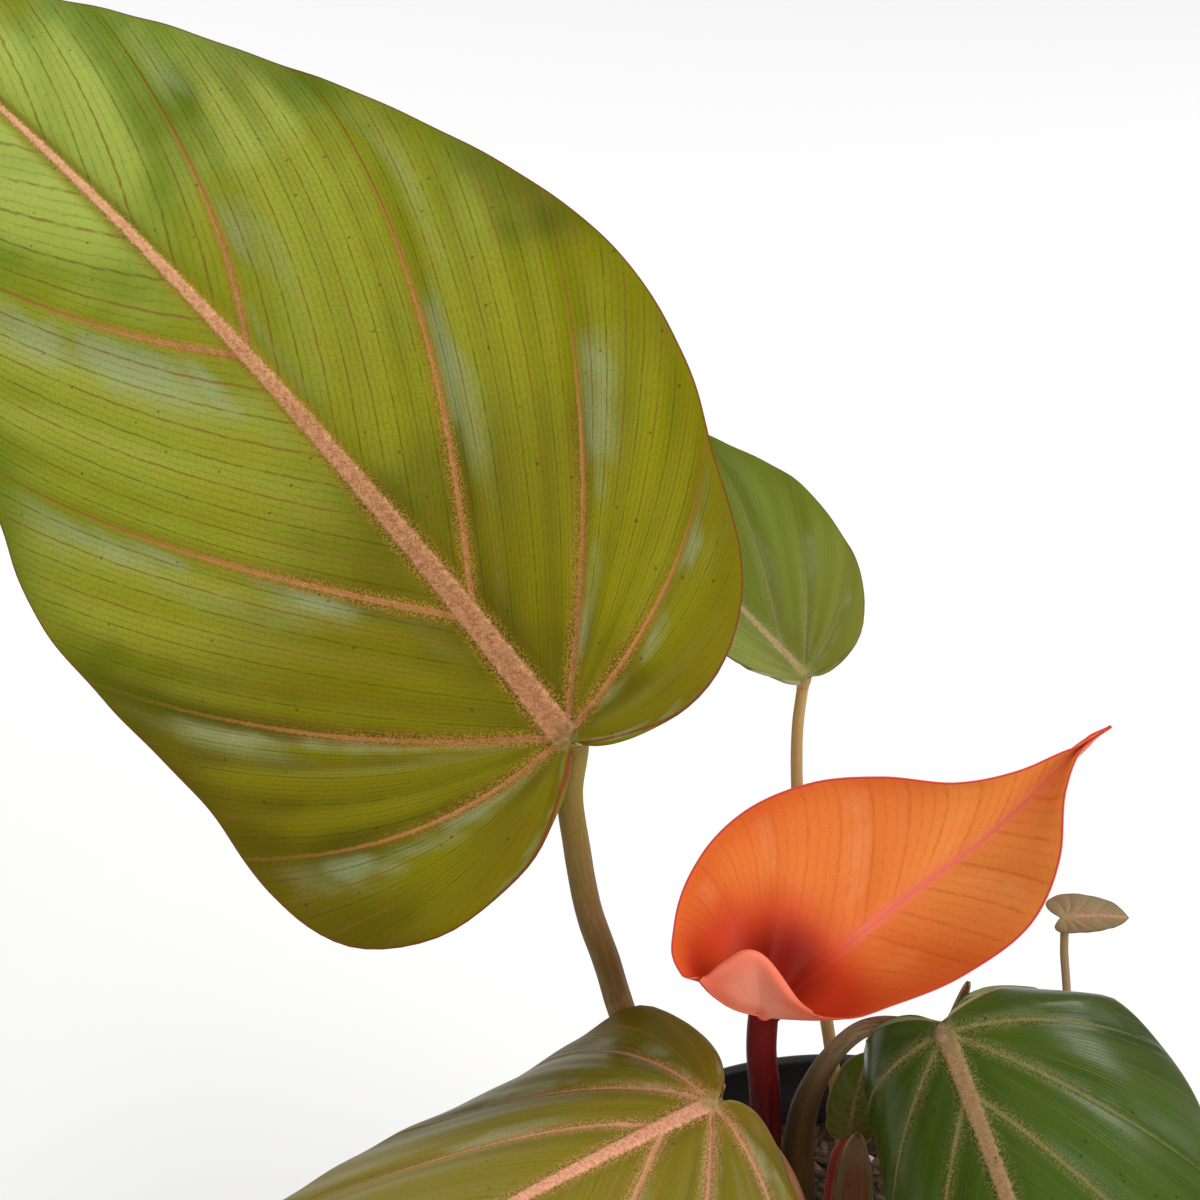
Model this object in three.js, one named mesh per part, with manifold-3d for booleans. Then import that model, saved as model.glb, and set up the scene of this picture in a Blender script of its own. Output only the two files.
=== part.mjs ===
// A young philodendron in a plastic nursery pot, in millimetres with +Z up.
// The origin is the middle of the pot's flat underside. The plant leans over the rim on seven leaf stalks.
import * as THREE from 'three';
import { mergeVertices } from 'three/addons/utils/BufferGeometryUtils.js';
import Module from 'manifold-3d';

const wasm = await Module();
wasm.setup();

// Pot and soil
const potTopDiameter = 120;
const potBaseDiameter = 88;
const potHeight = 105;
const potWall = 1.6;
const potRimHeight = 9;
const potRimOverhang = 2;
const potRimEdge = 1;
const potBaseEdge = 2;
const potSides = 48;
const drainHoles = 8;
const drainHoleDiameter = 9;
const drainHoleInset = 11;
const soilHeight = 92;
const soilLump = 1.4;

// Crown that the leaf stalks grow from, a low mound sunk in the soil
const crown = { centre: [-8, 3, 88], radii: [15, 13, 8] };

// Fits
const clearance = 0.3;
const bladeThickness = 0.8;
const stalkDepth = 86;
const stalkTopLength = 4;
const stalkSteps = 16;
const midribSteps = 120;
const sheathRows = 8;
const sheathColumns = 6;

const unitZ = new THREE.Vector3(0, 0, 1);

const finishes = {
  potPlastic: new THREE.MeshStandardMaterial({ color: 0x1d1d1f, roughness: 0.5, metalness: 0 }),
  soil: new THREE.MeshStandardMaterial({ color: 0x2d2118, roughness: 1, metalness: 0 }),
  crown: new THREE.MeshStandardMaterial({ color: 0x54452c, roughness: 0.8, metalness: 0 }),
  limeLeaf: new THREE.MeshStandardMaterial({ color: 0x7d8a1c, roughness: 0.45, metalness: 0 }),
  paleLeaf: new THREE.MeshStandardMaterial({ color: 0x75894b, roughness: 0.5, metalness: 0 }),
  oliveLeaf: new THREE.MeshStandardMaterial({ color: 0x686a2c, roughness: 0.45, metalness: 0 }),
  darkLeaf: new THREE.MeshStandardMaterial({ color: 0x2c5a28, roughness: 0.4, metalness: 0 }),
  orangeLeaf: new THREE.MeshStandardMaterial({ color: 0xcf6d2e, roughness: 0.45, metalness: 0 }),
  tanStalk: new THREE.MeshStandardMaterial({ color: 0x94794c, roughness: 0.6, metalness: 0 }),
  crimsonStalk: new THREE.MeshStandardMaterial({ color: 0x6b1c28, roughness: 0.5, metalness: 0 }),
  drySheath: new THREE.MeshStandardMaterial({ color: 0x8a4a30, roughness: 0.8, metalness: 0 }),
};

// Smooth curve through [x, value] pairs that never overshoots a level stretch
function smoothValue(pairs, x) {
  const last = pairs.length - 1;
  if (x <= pairs[0][0]) return pairs[0][1];
  if (x >= pairs[last][0]) return pairs[last][1];
  const width = (i) => pairs[i + 1][0] - pairs[i][0];
  const slope = (i) => (pairs[i + 1][1] - pairs[i][1]) / width(i);
  const tangent = (i) => {
    if (i === 0) return slope(0);
    if (i === last) return slope(last - 1);
    const before = slope(i - 1);
    const after = slope(i);
    return before * after <= 0 ? 0 : (2 * before * after) / (before + after);
  };
  let i = 0;
  while (x > pairs[i + 1][0]) i += 1;
  const s = (x - pairs[i][0]) / width(i);
  return hermite(pairs[i][1], pairs[i + 1][1], tangent(i) * width(i), tangent(i + 1) * width(i), s);
}

function hermite(from, to, fromSlope, toSlope, s) {
  const s2 = s * s;
  const s3 = s2 * s;
  return (2 * s3 - 3 * s2 + 1) * from + (s3 - 2 * s2 + s) * fromSlope
    + (3 * s2 - 2 * s3) * to + (s3 - s2) * toSlope;
}

function vectors(points) {
  return points.map(([x, y, z = 0]) => new THREE.Vector3(x, y, z));
}

function smoothCurve(points) {
  const curve = new THREE.CatmullRomCurve3(vectors(points), false, 'centripetal');
  curve.arcLengthDivisions = 400;
  return curve;
}

function toSolid(geometry) {
  const bare = geometry.clone();
  bare.deleteAttribute('normal');
  bare.deleteAttribute('uv');
  const merged = mergeVertices(bare, 1e-4);
  return new wasm.Manifold(new wasm.Mesh({
    numProp: 3,
    vertProperties: new Float32Array(merged.attributes.position.array),
    triVerts: new Uint32Array(merged.index.array),
  }));
}

function toGeometry(solid) {
  const mesh = solid.getMesh();
  const geometry = new THREE.BufferGeometry();
  geometry.setAttribute('position', new THREE.BufferAttribute(new Float32Array(mesh.vertProperties), 3));
  geometry.setIndex(new THREE.BufferAttribute(new Uint32Array(mesh.triVerts), 1));
  geometry.computeVertexNormals();
  return geometry;
}

function largestPiece(solid) {
  return solid.decompose().reduce((best, piece) => (piece.volume() > best.volume() ? piece : best));
}

// Closed thin shell from a sheet of points and its triangles. The sheet is shifted along its own
// normals by above and -below, and both faces keep the same triangles.
function shellGeometry(points, triangles, above, below) {
  const normals = points.map(() => new THREE.Vector3());
  const edges = new Map();
  const faceNormal = new THREE.Vector3();
  const side = new THREE.Vector3();
  for (const [a, b, c] of triangles) {
    faceNormal.subVectors(points[b], points[a]).cross(side.subVectors(points[c], points[a]));
    for (const corner of [a, b, c]) normals[corner].add(faceNormal);
    for (const [from, to] of [[a, b], [b, c], [c, a]]) {
      if (!edges.delete(`${to},${from}`)) edges.set(`${from},${to}`, [from, to]);
    }
  }
  const lower = points.length;
  const shifted = (distance) => points.map((p, i) => p.clone().addScaledVector(normals[i], distance));
  normals.forEach((normal) => normal.normalize());
  const corners = [...shifted(above), ...shifted(-below)];
  const faces = [];
  for (const [a, b, c] of triangles) faces.push([a, b, c], [lower + c, lower + b, lower + a]);
  for (const [from, to] of edges.values()) {
    faces.push([from, lower + from, lower + to], [from, lower + to, to]);
  }
  const geometry = new THREE.BufferGeometry();
  geometry.setAttribute('position', new THREE.Float32BufferAttribute(corners.flatMap((p) => p.toArray()), 3));
  geometry.setIndex(faces.flat());
  geometry.computeVertexNormals();
  return geometry;
}

// Collects sheet points, giving the same number to points that fall together
class Sheet {
  constructor() {
    this.points = [];
    this.triangles = [];
    this.numbers = new Map();
  }

  add(point) {
    const key = point.toArray().map((v) => Math.round(v * 1000)).join(',');
    if (!this.numbers.has(key)) {
      this.numbers.set(key, this.points.length);
      this.points.push(point);
    }
    return this.numbers.get(key);
  }

  addTriangle(a, b, c) {
    if (a !== b && b !== c && c !== a) this.triangles.push([a, b, c]);
  }

  addQuad(a, b, c, d) {
    this.addTriangle(a, b, c);
    this.addTriangle(a, c, d);
  }

  // rows[i][j] is the point at row i and column j, and turned swaps the face side
  addGrid(rows, turned) {
    const numbered = rows.map((row) => row.map((point) => this.add(point)));
    for (let i = 0; i + 1 < numbered.length; i += 1) {
      for (let j = 0; j + 1 < numbered[i].length; j += 1) {
        const corners = [numbered[i][j], numbered[i + 1][j], numbered[i + 1][j + 1], numbered[i][j + 1]];
        if (turned) corners.reverse();
        this.addQuad(...corners);
      }
    }
  }
}

// Leaf blades. In a blade's own frame x points to the leaf's right, y along the midrib to the tip and
// z up from its upper face, and the origin is where the stalk meets it. Each half is drawn by numbered
// lines that run from the midrib to the margin, from line 0 in the notch to the last one at the tip.
// Starts are shares of the length along the midrib. A line is [share of the margin's length, angle from
// the midrib in degrees, reach of the curve's bend point as a share of the line's length].
const heartStarts = [0, 0, 0, 0, 0.075, 0.38, 1];
const heartLines = [[0, 180, 0.5], [0.12, 140, 0.5], [0.28, 88, 0.5], [0.44, 52, 0.49], [0.62, 36, 0.62],
  [0.79, 38, 0.38], [1, 20, 0.4]];
const veinNumbers = [0, 2, 3, 4, 5, 6];

// Value between numbered lines
function between(values, number) {
  return smoothValue(values.map((value, i) => [i, value]), number);
}

// Flat point of a numbered line at share w of its length, before the blade is bent
function flatPoint(leaf, half, number, w) {
  const [share, degrees, reach] = [0, 1, 2].map((k) => between(half.lines.map((line) => line[k]), number));
  const margin = half.curve.getPointAt(share);
  const start = leaf.length * between(leaf.starts ?? heartStarts, number);
  const angle = THREE.MathUtils.degToRad(degrees);
  const bend = Math.hypot(margin.x, margin.y - start) * reach;
  const bendX = half.sign * bend * Math.sin(angle);
  const bendY = start + bend * Math.cos(angle);
  const x = 2 * w * (1 - w) * bendX + w * w * margin.x;
  const y = (1 - w) ** 2 * start + 2 * w * (1 - w) * bendY + w * w * margin.y;
  return [x, y];
}

// Midrib curve with its cross axes, as a lookup along y
function midribFrames(leaf) {
  const from = -2 * leaf.lobe;
  const to = 1.05 * leaf.length;
  const size = (to - from) / midribSteps;
  const frames = [];
  const place = new THREE.Vector3();
  for (let i = 0; i <= midribSteps; i += 1) {
    const y = from + i * size;
    const share = y / leaf.length;
    const dip = y >= 0 ? leaf.bend * share ** 1.3 : leaf.lobeDroop * (y / leaf.lobe);
    const sway = THREE.MathUtils.degToRad(leaf.sway * share);
    const along = new THREE.Vector3(Math.sin(sway), Math.cos(sway), 0);
    const across = new THREE.Vector3(Math.cos(sway), -Math.sin(sway), 0);
    const up = unitZ.clone();
    along.applyAxisAngle(across, -THREE.MathUtils.degToRad(dip));
    up.applyAxisAngle(across, -THREE.MathUtils.degToRad(dip));
    if (i > 0) place.addScaledVector(along.clone().add(frames[i - 1].along), size / 2);
    frames.push({ y, along, across, up, place: place.clone() });
  }
  const at = (y) => {
    const exact = THREE.MathUtils.clamp((y - from) / size, 0, midribSteps - 1e-6);
    const i = Math.floor(exact);
    const mix = (key) => frames[i][key].clone().lerp(frames[i + 1][key], exact - i);
    return { place: mix('place'), across: mix('across'), up: mix('up') };
  };
  const base = at(0).place;
  return (y) => {
    const frame = at(y);
    frame.place.sub(base);
    return frame;
  };
}

// Each half leaves the midrib at the vee angle and rolls on by the curl angle towards its margin.
// Both are given at the lobes, the base, the middle and the tip.
function crossSection(leaf, side, y, distance) {
  const stations = [-leaf.lobe, 0, leaf.length / 2, leaf.length];
  const read = (values) => THREE.MathUtils.degToRad(smoothValue(stations.map((s, i) => [s, values[i]]), y));
  const vee = read(leaf.vee[side]);
  const curl = read(leaf.curl[side]) || 1e-4;
  const radius = leaf.halfWidth / curl;
  const turn = vee + distance / radius;
  return [radius * (Math.sin(turn) - Math.sin(vee)), radius * (Math.cos(vee) - Math.cos(turn))];
}

// The blade swells upwards between its main veins
function quilt(leaf, number, w) {
  const next = veinNumbers.findIndex((line) => line > number);
  if (next < 1) return 0;
  const share = (number - veinNumbers[next - 1]) / (veinNumbers[next] - veinNumbers[next - 1]);
  return leaf.quilt * Math.sin(Math.PI * share) ** 0.8 * Math.sin(Math.PI * w ** 0.8) ** 0.7;
}

// Rows with the same number of cells between each pair of lines
function rowsBetween(lines, cells) {
  const rows = [];
  for (let i = 0; i + 1 < lines.length; i += 1) {
    for (let k = 0; k < cells; k += 1) rows.push(THREE.MathUtils.lerp(lines[i], lines[i + 1], k / cells));
  }
  return [...rows, lines[lines.length - 1]];
}

function columns(count) {
  return Array.from({ length: count + 1 }, (_, j) => j / count);
}

function heartSheet(leaf) {
  const frameAt = midribFrames(leaf);
  const sheet = new Sheet();
  for (const side of ['right', 'left']) {
    const sign = side === 'right' ? 1 : -1;
    const half = {
      sign,
      lines: leaf.lines?.[side] ?? heartLines,
      curve: smoothCurve(leaf.outline[side].map(([x, y]) => [sign * x, y])),
    };
    const grid = rowsBetween(veinNumbers, leaf.cells[0]).map((number) => columns(leaf.cells[1]).map((w) => {
      const [x, y] = flatPoint(leaf, half, number, w);
      const frame = frameAt(y);
      const [out, rise] = crossSection(leaf, side, y, Math.abs(x));
      return frame.place
        .addScaledVector(frame.across, sign * out)
        .addScaledVector(frame.up, rise + quilt(leaf, number, w));
    }));
    sheet.addGrid(grid, side === 'right');
  }
  return sheet;
}

// Leaf with vein lines given in space: [t, bend point, margin point], with the midrib as [t, point]
function scoopSheet(leaf) {
  const through = (rows, t) => {
    const last = rows.length - 1;
    const width = (i) => rows[i + 1][0] - rows[i][0];
    const i = Math.min(Math.max(rows.findIndex((row) => row[0] > t) - 1, 0), last - 1);
    const k = rows[last][0] <= t ? last - 1 : i;
    const value = (n, axis) => rows[n][1][axis];
    const slope = (n, axis) => (value(n + 1, axis) - value(n, axis)) / width(n);
    const tangent = (n, axis) => {
      if (n === 0) return slope(0, axis);
      if (n === last) return slope(last - 1, axis);
      return (slope(n - 1, axis) * width(n) + slope(n, axis) * width(n - 1)) / (width(n) + width(n - 1));
    };
    const s = (t - rows[k][0]) / width(k);
    return new THREE.Vector3(...[0, 1, 2].map((axis) => hermite(
      value(k, axis), value(k + 1, axis), tangent(k, axis) * width(k), tangent(k + 1, axis) * width(k), s,
    )));
  };
  const sheet = new Sheet();
  for (const side of ['right', 'left']) {
    const bends = leaf[side].map(([t, bend]) => [t, bend]);
    const margins = leaf[side].map(([t, , margin]) => [t, margin]);
    const grid = rowsBetween(leaf.rows, leaf.cells[0]).map((t) => {
      const [start, bend, margin] = [through(leaf.midrib, t), through(bends, t), through(margins, t)];
      return columns(leaf.cells[1]).map((w) => start.clone().multiplyScalar((1 - w) ** 2)
        .addScaledVector(bend, 2 * w * (1 - w))
        .addScaledVector(margin, w * w));
    });
    sheet.addGrid(grid, side === 'right');
  }
  return sheet;
}

const hearts = {
  large: [[0, -2], [6, -6], [17, -10], [30, -7], [40, 3], [47, 19], [55, 37], [59, 60], [56, 84], [48, 113],
    [38, 143], [25, 180], [10, 210], [0, 224]],
  largeLeft: [[0, -2], [5, -7], [17, -13], [36, -12], [49, -3], [55, 14], [55, 36], [58, 64], [58, 88],
    [51, 114], [40, 145], [26, 180], [10, 210], [0, 224]],
  olive: [[0, -2], [5, -6.5], [17, -10], [30, -8], [38, 1], [41, 15], [41, 30], [39, 46], [34, 66], [26, 87],
    [15, 108], [6, 123], [0, 130]],
  oliveLeft: [[0, -2], [5, -5.5], [16, -8], [28, -6.5], [36, 2], [39, 15], [40, 30], [39, 46], [34, 66],
    [26, 87], [15, 108], [6, 123], [0, 130]],
  dark: [[0, -2], [6, -5], [17, -8], [30, -6], [40, 3], [44, 16], [44, 30], [42, 46], [36, 66], [28, 87],
    [16, 108], [6, 123], [0, 130]],
  darkLeft: [[0, -2], [6, -4], [16, -6], [29, -4.5], [40, 4], [45, 17], [45, 31], [43, 47], [36, 66], [28, 87],
    [16, 108], [6, 123], [0, 130]],
  back: [[0, -1], [4, -2], [9, -3], [15, -1], [21, 6], [24, 15], [25, 26], [22, 40], [17, 55], [8, 71],
    [0, 80]],
  backLeft: [[0, -1], [4, -1], [9, 1], [14, 6], [17, 14], [18, 26], [17, 40], [13, 55], [7, 71], [0, 80]],
  side: [[0, -1], [1.5, -2.5], [4, -3], [6, -1], [6.5, 2.5], [5.5, 7], [3, 10.5], [0, 12]],
  sideRight: [[0, -1], [1, -2], [2, -2.5], [3, -1], [3.2, 2.5], [2.8, 7], [1.5, 10.5], [0, 12]],
  young: [[0, -0.5], [1.5, -1.2], [4, 0], [5.5, 4], [5.5, 8], [3.5, 13], [0, 16]],
};

const leaves = [
  {
    name: 'large_leaf',
    finish: finishes.limeLeaf,
    stalkFinish: finishes.tanStalk,
    base: [-49.5, 29, 211.5],
    heading: 126,
    pitch: 17,
    roll: 38,
    length: 224,
    halfWidth: 60,
    lobe: 20,
    bend: 6,
    lobeDroop: 8,
    sway: -11,
    quilt: 2,
    vee: { right: [6, 4, 7, 4], left: [6, 5, 7, 4] },
    curl: { right: [-14, -17, -15, -10], left: [-15, -11, -6, -10] },
    outline: { right: hearts.large, left: hearts.largeLeft },
    starts: [0, 0, 0, 0, 0.12, 0.43, 1],
    lines: {
      right: [[0, 180, 0.5], [0.12, 140, 0.5], [0.25, 84, 0.55], [0.44, 47, 0.49], [0.63, 33, 0.65],
        [0.81, 36, 0.35], [1, 20, 0.4]],
      left: [[0, 180, 0.5], [0.12, 140, 0.5], [0.28, 94, 0.5], [0.44, 54, 0.49], [0.62, 37, 0.6],
        [0.79, 38, 0.38], [1, 20, 0.4]],
    },
    cells: [4, 7],
    stalk: [[-49, 27, 202], [-48, 26, 191], [-46, 25, 177], [-43, 25, 165], [-40, 24.5, 152], [-29, 18, 121],
      [-14, 8, 92]],
    stalkRadii: [2.2, 2.4, 2.6, 3],
  },
  {
    name: 'back_leaf',
    finish: finishes.paleLeaf,
    stalkFinish: finishes.tanStalk,
    base: [-7, 81, 181],
    heading: 130,
    pitch: 17,
    roll: 14,
    length: 80,
    halfWidth: 25,
    lobe: 8,
    bend: 14,
    lobeDroop: 8,
    sway: -8,
    quilt: 0.6,
    vee: { right: [36, 40, 40, 36], left: [40, 44, 40, 36] },
    curl: { right: [-28, -22, -12, -10], left: [-20, -16, -12, -10] },
    outline: { right: hearts.back, left: hearts.backLeft },
    cells: [3, 5],
    stalk: [[-8, 77, 172], [-8, 69, 162], [-6, 57, 145], [-2, 43, 126], [1, 28, 106], [3, 17, 90]],
    stalkRadii: [1.1, 1.2, 1.3, 1.6],
  },
  {
    name: 'olive_leaf',
    finish: finishes.oliveLeaf,
    stalkFinish: finishes.tanStalk,
    base: [-26, -7, 165],
    heading: 217,
    pitch: 8,
    roll: 1,
    length: 130,
    halfWidth: 40,
    lobe: 12,
    bend: 20,
    lobeDroop: 8,
    sway: -2,
    quilt: 1.4,
    vee: { right: [4, 0, -20, -4], left: [-45, -4, 0, 0] },
    curl: { right: [-28, -48, -12, -10], left: [-46, -36, -30, -10] },
    outline: { right: hearts.olive, left: hearts.oliveLeft },
    cells: [4, 6],
    stalk: [[-21, -7, 159], [-16, -7, 152], [-12, -8, 142], [-8, -8, 122], [-6, -8, 92]],
    stalkRadii: [1.8, 2, 2.3, 2.8],
  },
  {
    name: 'dark_leaf',
    finish: finishes.darkLeaf,
    stalkFinish: finishes.tanStalk,
    base: [11.5, 0, 174],
    heading: 290,
    pitch: -26,
    roll: 0,
    length: 130,
    halfWidth: 42,
    lobe: 12,
    bend: 20,
    lobeDroop: 8,
    sway: 0,
    quilt: 1.2,
    vee: { right: [-52, -40, -27, -10], left: [-34, 4, 10, 0] },
    curl: { right: [-90, -98, -62, -14], left: [-56, -46, -40, -10] },
    outline: { right: hearts.dark, left: hearts.darkLeft },
    cells: [4, 6],
    stalk: [[6, 8, 167], [0, 13, 161], [-5, 14, 153], [-9, 12, 143], [-10, 9, 130], [-9, 6, 112], [-8, 3, 92]],
    stalkRadii: [1.3, 1.6, 2.8, 3.6, 3.6],
  },
  {
    name: 'side_leaf',
    finish: finishes.paleLeaf,
    stalkFinish: finishes.tanStalk,
    base: [41.5, 58, 143],
    heading: 4,
    pitch: 2,
    roll: 0,
    length: 12,
    halfWidth: 6.5,
    lobe: 3,
    bend: 16,
    lobeDroop: 8,
    sway: 0,
    quilt: 0.3,
    vee: { right: [-20, -20, -20, -10], left: [6, 6, 4, 0] },
    curl: { right: [-50, -50, -50, -20], left: [-20, -20, -20, -10] },
    outline: { right: hearts.sideRight, left: hearts.side },
    cells: [1, 3],
    stalk: [[41.5, 56, 137], [41, 44, 125], [27, 26, 107], [7, 14, 92]],
    stalkRadii: [0.8, 0.9, 1.2],
  },
  {
    name: 'young_leaf',
    finish: finishes.darkLeaf,
    stalkFinish: finishes.crimsonStalk,
    base: [0, 20, 127],
    heading: 78,
    pitch: 58,
    roll: 0,
    length: 16,
    halfWidth: 6,
    lobe: 2,
    bend: -10,
    lobeDroop: 0,
    sway: 14,
    quilt: 0.3,
    vee: { right: [8, 8, 8, 8], left: [8, 8, 8, 8] },
    curl: { right: [40, 40, 40, 30], left: [60, 60, 60, 40] },
    outline: { right: hearts.young, left: hearts.young },
    cells: [1, 4],
    stalk: [[-2, 20, 122], [-3, 18, 117], [-4, 12, 107], [-3, 8, 92]],
    stalkRadii: [0.8, 0.9, 1.1, 1.3],
  },
];

// The newest leaf is still a scoop, and its right lobe is rolled over in front of its base. Its frame
// has x to the right, y up along the scoop and z out of its mouth, and lies back by scoopTilt degrees.
const scoopTilt = 52;
const newLeaf = {
  name: 'new_leaf',
  finish: finishes.orangeLeaf,
  stalkFinish: finishes.crimsonStalk,
  base: [-16.5, 13, 166.5],
  rows: [0, 0.1, 0.22, 0.34, 0.46, 0.6, 0.76, 0.94, 1],
  cells: [3, 8],
  midrib: [
    [0, [-0.5, -1.5, 0]],
    [0.42, [-0.5, -1.5, 0]],
    [0.46, [-0.5, -1.5, 0]],
    [0.52, [4.5, 2.5, -5]],
    [0.58, [14.5, 9.5, -8]],
    [0.7, [26, 18.5, -9]],
    [0.8, [37, 27, -7]],
    [0.88, [45, 35, -3]],
    [0.94, [51, 42, 1]],
    [0.97, [54, 44.5, 1.5]],
    [1, [57, 46.5, 2]],
  ],
  right: [
    [0, [-0.5, -1, 1], [-1, -1, 1]],
    [0.05, [-5, -0.5, 2], [-6.2, 0.6, 4]],
    [0.1, [-8.5, 1.5, 5], [-11.5, 5.5, 10]],
    [0.14, [-9, 13, 16.5], [-8.5, 6, 7]],
    [0.19, [-4, 16, 18.5], [-4, 8, 6]],
    [0.235, [-2, 15.5, 17.5], [-0.5, 7.5, 5]],
    [0.28, [2, 9, 15], [2, 4, 5]],
    [0.33, [4.5, 3, 11.5], [5, 1, 7]],
    [0.38, [8, -1.5, 5], [8.5, -0.5, 8]],
    [0.42, [12, -1, 1], [14, -0.5, 9]],
    [0.46, [16, 1, -2], [20, 1.5, 9]],
    [0.58, [27, 6.5, -6], [32.5, 6.5, 7]],
    [0.7, [37.5, 17, -5], [43.5, 15, 6]],
    [0.8, [44, 26, -3], [48, 25.5, 5]],
    [0.88, [48, 34, 0], [49, 36, 4]],
    [0.94, [51, 42, 2], [51.5, 42.5, 4]],
    [0.97, [54, 44.5, 2], [54, 44.5, 2.5]],
    [1, [57, 46.5, 2], [57, 46.5, 2]],
  ],
  left: [
    [0, [-0.5, -1, 1], [-1, -1, 1]],
    [0.05, [-3, 1, -1], [-6.5, 2.5, 5]],
    [0.1, [-6, 3.5, -1], [-11.5, 6, 9]],
    [0.14, [-8, 4, -2], [-13.5, 6, 10]],
    [0.165, [-9.5, 5.5, -3], [-16, 6.5, 10]],
    [0.2, [-10, 8.5, -5], [-15.5, 10, 9]],
    [0.25, [-10, 13, -8], [-15.5, 14.5, 9]],
    [0.33, [-6, 19, -12], [-12.5, 23.5, 8]],
    [0.42, [1, 25.5, -13], [-4.5, 32, 6]],
    [0.52, [12.5, 29, -12], [7, 37, 4]],
    [0.62, [23, 32.5, -9], [19, 38, 3]],
    [0.72, [34.5, 34, -6], [31, 37, 3]],
    [0.82, [42.5, 36.5, -4], [41.5, 39, 3]],
    [0.9, [48, 40, -1], [48.5, 42, 3]],
    [0.94, [51, 42.5, 2], [52, 43.5, 3]],
    [0.97, [54, 44.5, 2], [53.5, 45, 2.5]],
    [1, [57, 46.5, 2], [57, 46.5, 2]],
  ],
  stalk: [[-17, 13, 157], [-16, 10, 145], [-16, 4, 128], [-16, -1, 107], [-16, -4, 92]],
  stalkRadii: [2.6, 2.8, 3.1, 3.3],
};

// Dried sheath leaves: pointed strips rolled round their long axis. Heading is where the hollow looks.
const sheaths = [
  { name: 'split_sheath', foot: [1, 4, 88], tip: [0, 10, 139], heading: -95, width: 11, wrap: 110 },
  { name: 'tall_sheath', foot: [9, 8, 88], tip: [20, 33, 152], heading: -80, width: 6, wrap: 90 },
  { name: 'dry_sheath', foot: [-20, 3, 88], tip: [-30, 8, 126], heading: 20, width: 10, wrap: 100 },
];

function bladeSheet(leaf) {
  return leaf.outline ? heartSheet(leaf) : scoopSheet(leaf);
}

function placed(object, leaf) {
  object.position.set(...leaf.base);
  if (leaf.outline) {
    const [pitch, roll, turn] = [leaf.pitch, -leaf.roll, leaf.heading - 90].map(THREE.MathUtils.degToRad);
    object.rotation.set(pitch, roll, turn, 'ZXY');
  } else {
    object.rotation.x = THREE.MathUtils.degToRad(scoopTilt);
  }
  object.updateMatrix();
  return object;
}

function bladeMesh(leaf) {
  const sheet = bladeSheet(leaf);
  const mesh = new THREE.Mesh(shellGeometry(sheet.points, sheet.triangles, 0, bladeThickness), leaf.finish);
  mesh.name = `${leaf.name}_blade`;
  return placed(mesh, leaf);
}

// Blade grown by the clearance on both faces, in the object's frame, to trim the stalk against
function bladeRoom(leaf) {
  const sheet = bladeSheet(leaf);
  const room = shellGeometry(sheet.points, sheet.triangles, clearance, bladeThickness + clearance);
  const holder = placed(new THREE.Object3D(), leaf);
  return toSolid(room.applyMatrix4(holder.matrix));
}

// Round tapered tube along a smooth curve, with flat ends
function tubeGeometry(points, radii, sides, steps, extra = 0) {
  const curve = smoothCurve(points);
  const frames = curve.computeFrenetFrames(steps, false);
  const radiusStations = radii.map((radius, i) => [i / (radii.length - 1), radius]);
  const rings = [];
  for (let i = 0; i <= steps; i += 1) {
    const centre = curve.getPointAt(i / steps);
    const radius = smoothValue(radiusStations, i / steps) + extra;
    const ring = [];
    for (let k = 0; k < sides; k += 1) {
      const turn = (2 * Math.PI * k) / sides;
      ring.push(centre.clone()
        .addScaledVector(frames.normals[i], radius * Math.cos(turn))
        .addScaledVector(frames.binormals[i], radius * Math.sin(turn)));
    }
    rings.push(ring);
  }
  return loftGeometry(rings);
}

// Closed skin over rings of equal length, with a fan over each end
function loftGeometry(rings) {
  const sides = rings[0].length;
  const corners = rings.flat();
  const faces = [];
  for (let i = 0; i + 1 < rings.length; i += 1) {
    for (let k = 0; k < sides; k += 1) {
      const a = i * sides + k;
      const b = i * sides + ((k + 1) % sides);
      faces.push([a, b, b + sides], [a, b + sides, a + sides]);
    }
  }
  const last = (rings.length - 1) * sides;
  for (let k = 1; k + 1 < sides; k += 1) {
    faces.push([0, k + 1, k], [last, last + k, last + k + 1]);
  }
  const geometry = new THREE.BufferGeometry();
  geometry.setAttribute('position', new THREE.Float32BufferAttribute(corners.flatMap((p) => p.toArray()), 3));
  geometry.setIndex(faces.flat());
  geometry.computeVertexNormals();
  return geometry;
}

// Stalk from just under its blade down into the crown or the soil
function stalkPoints(leaf, depth) {
  const down = placed(new THREE.Object3D(), leaf);
  const lift = (distance) => new THREE.Vector3(0, 0, distance).applyMatrix4(down.matrix).toArray();
  const foot = leaf.stalk[leaf.stalk.length - 1];
  return [lift(-bladeThickness - clearance), lift(-stalkTopLength), ...leaf.stalk, [foot[0], foot[1], depth]];
}

function stalkSides(leaf) {
  return leaf.stalkRadii[0] > 1.5 ? 10 : 8;
}

function stalkMesh(leaf) {
  const tube = tubeGeometry(stalkPoints(leaf, stalkDepth), leaf.stalkRadii, stalkSides(leaf), stalkSteps);
  const trimmed = largestPiece(toSolid(tube).subtract(bladeRoom(leaf)));
  const mesh = new THREE.Mesh(toGeometry(trimmed), leaf.stalkFinish);
  mesh.name = `${leaf.name}_stalk`;
  return mesh;
}

function stalkRoom(leaf) {
  const points = stalkPoints(leaf, stalkDepth - clearance);
  return toSolid(tubeGeometry(points, leaf.stalkRadii, stalkSides(leaf), stalkSteps, clearance));
}

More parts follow.
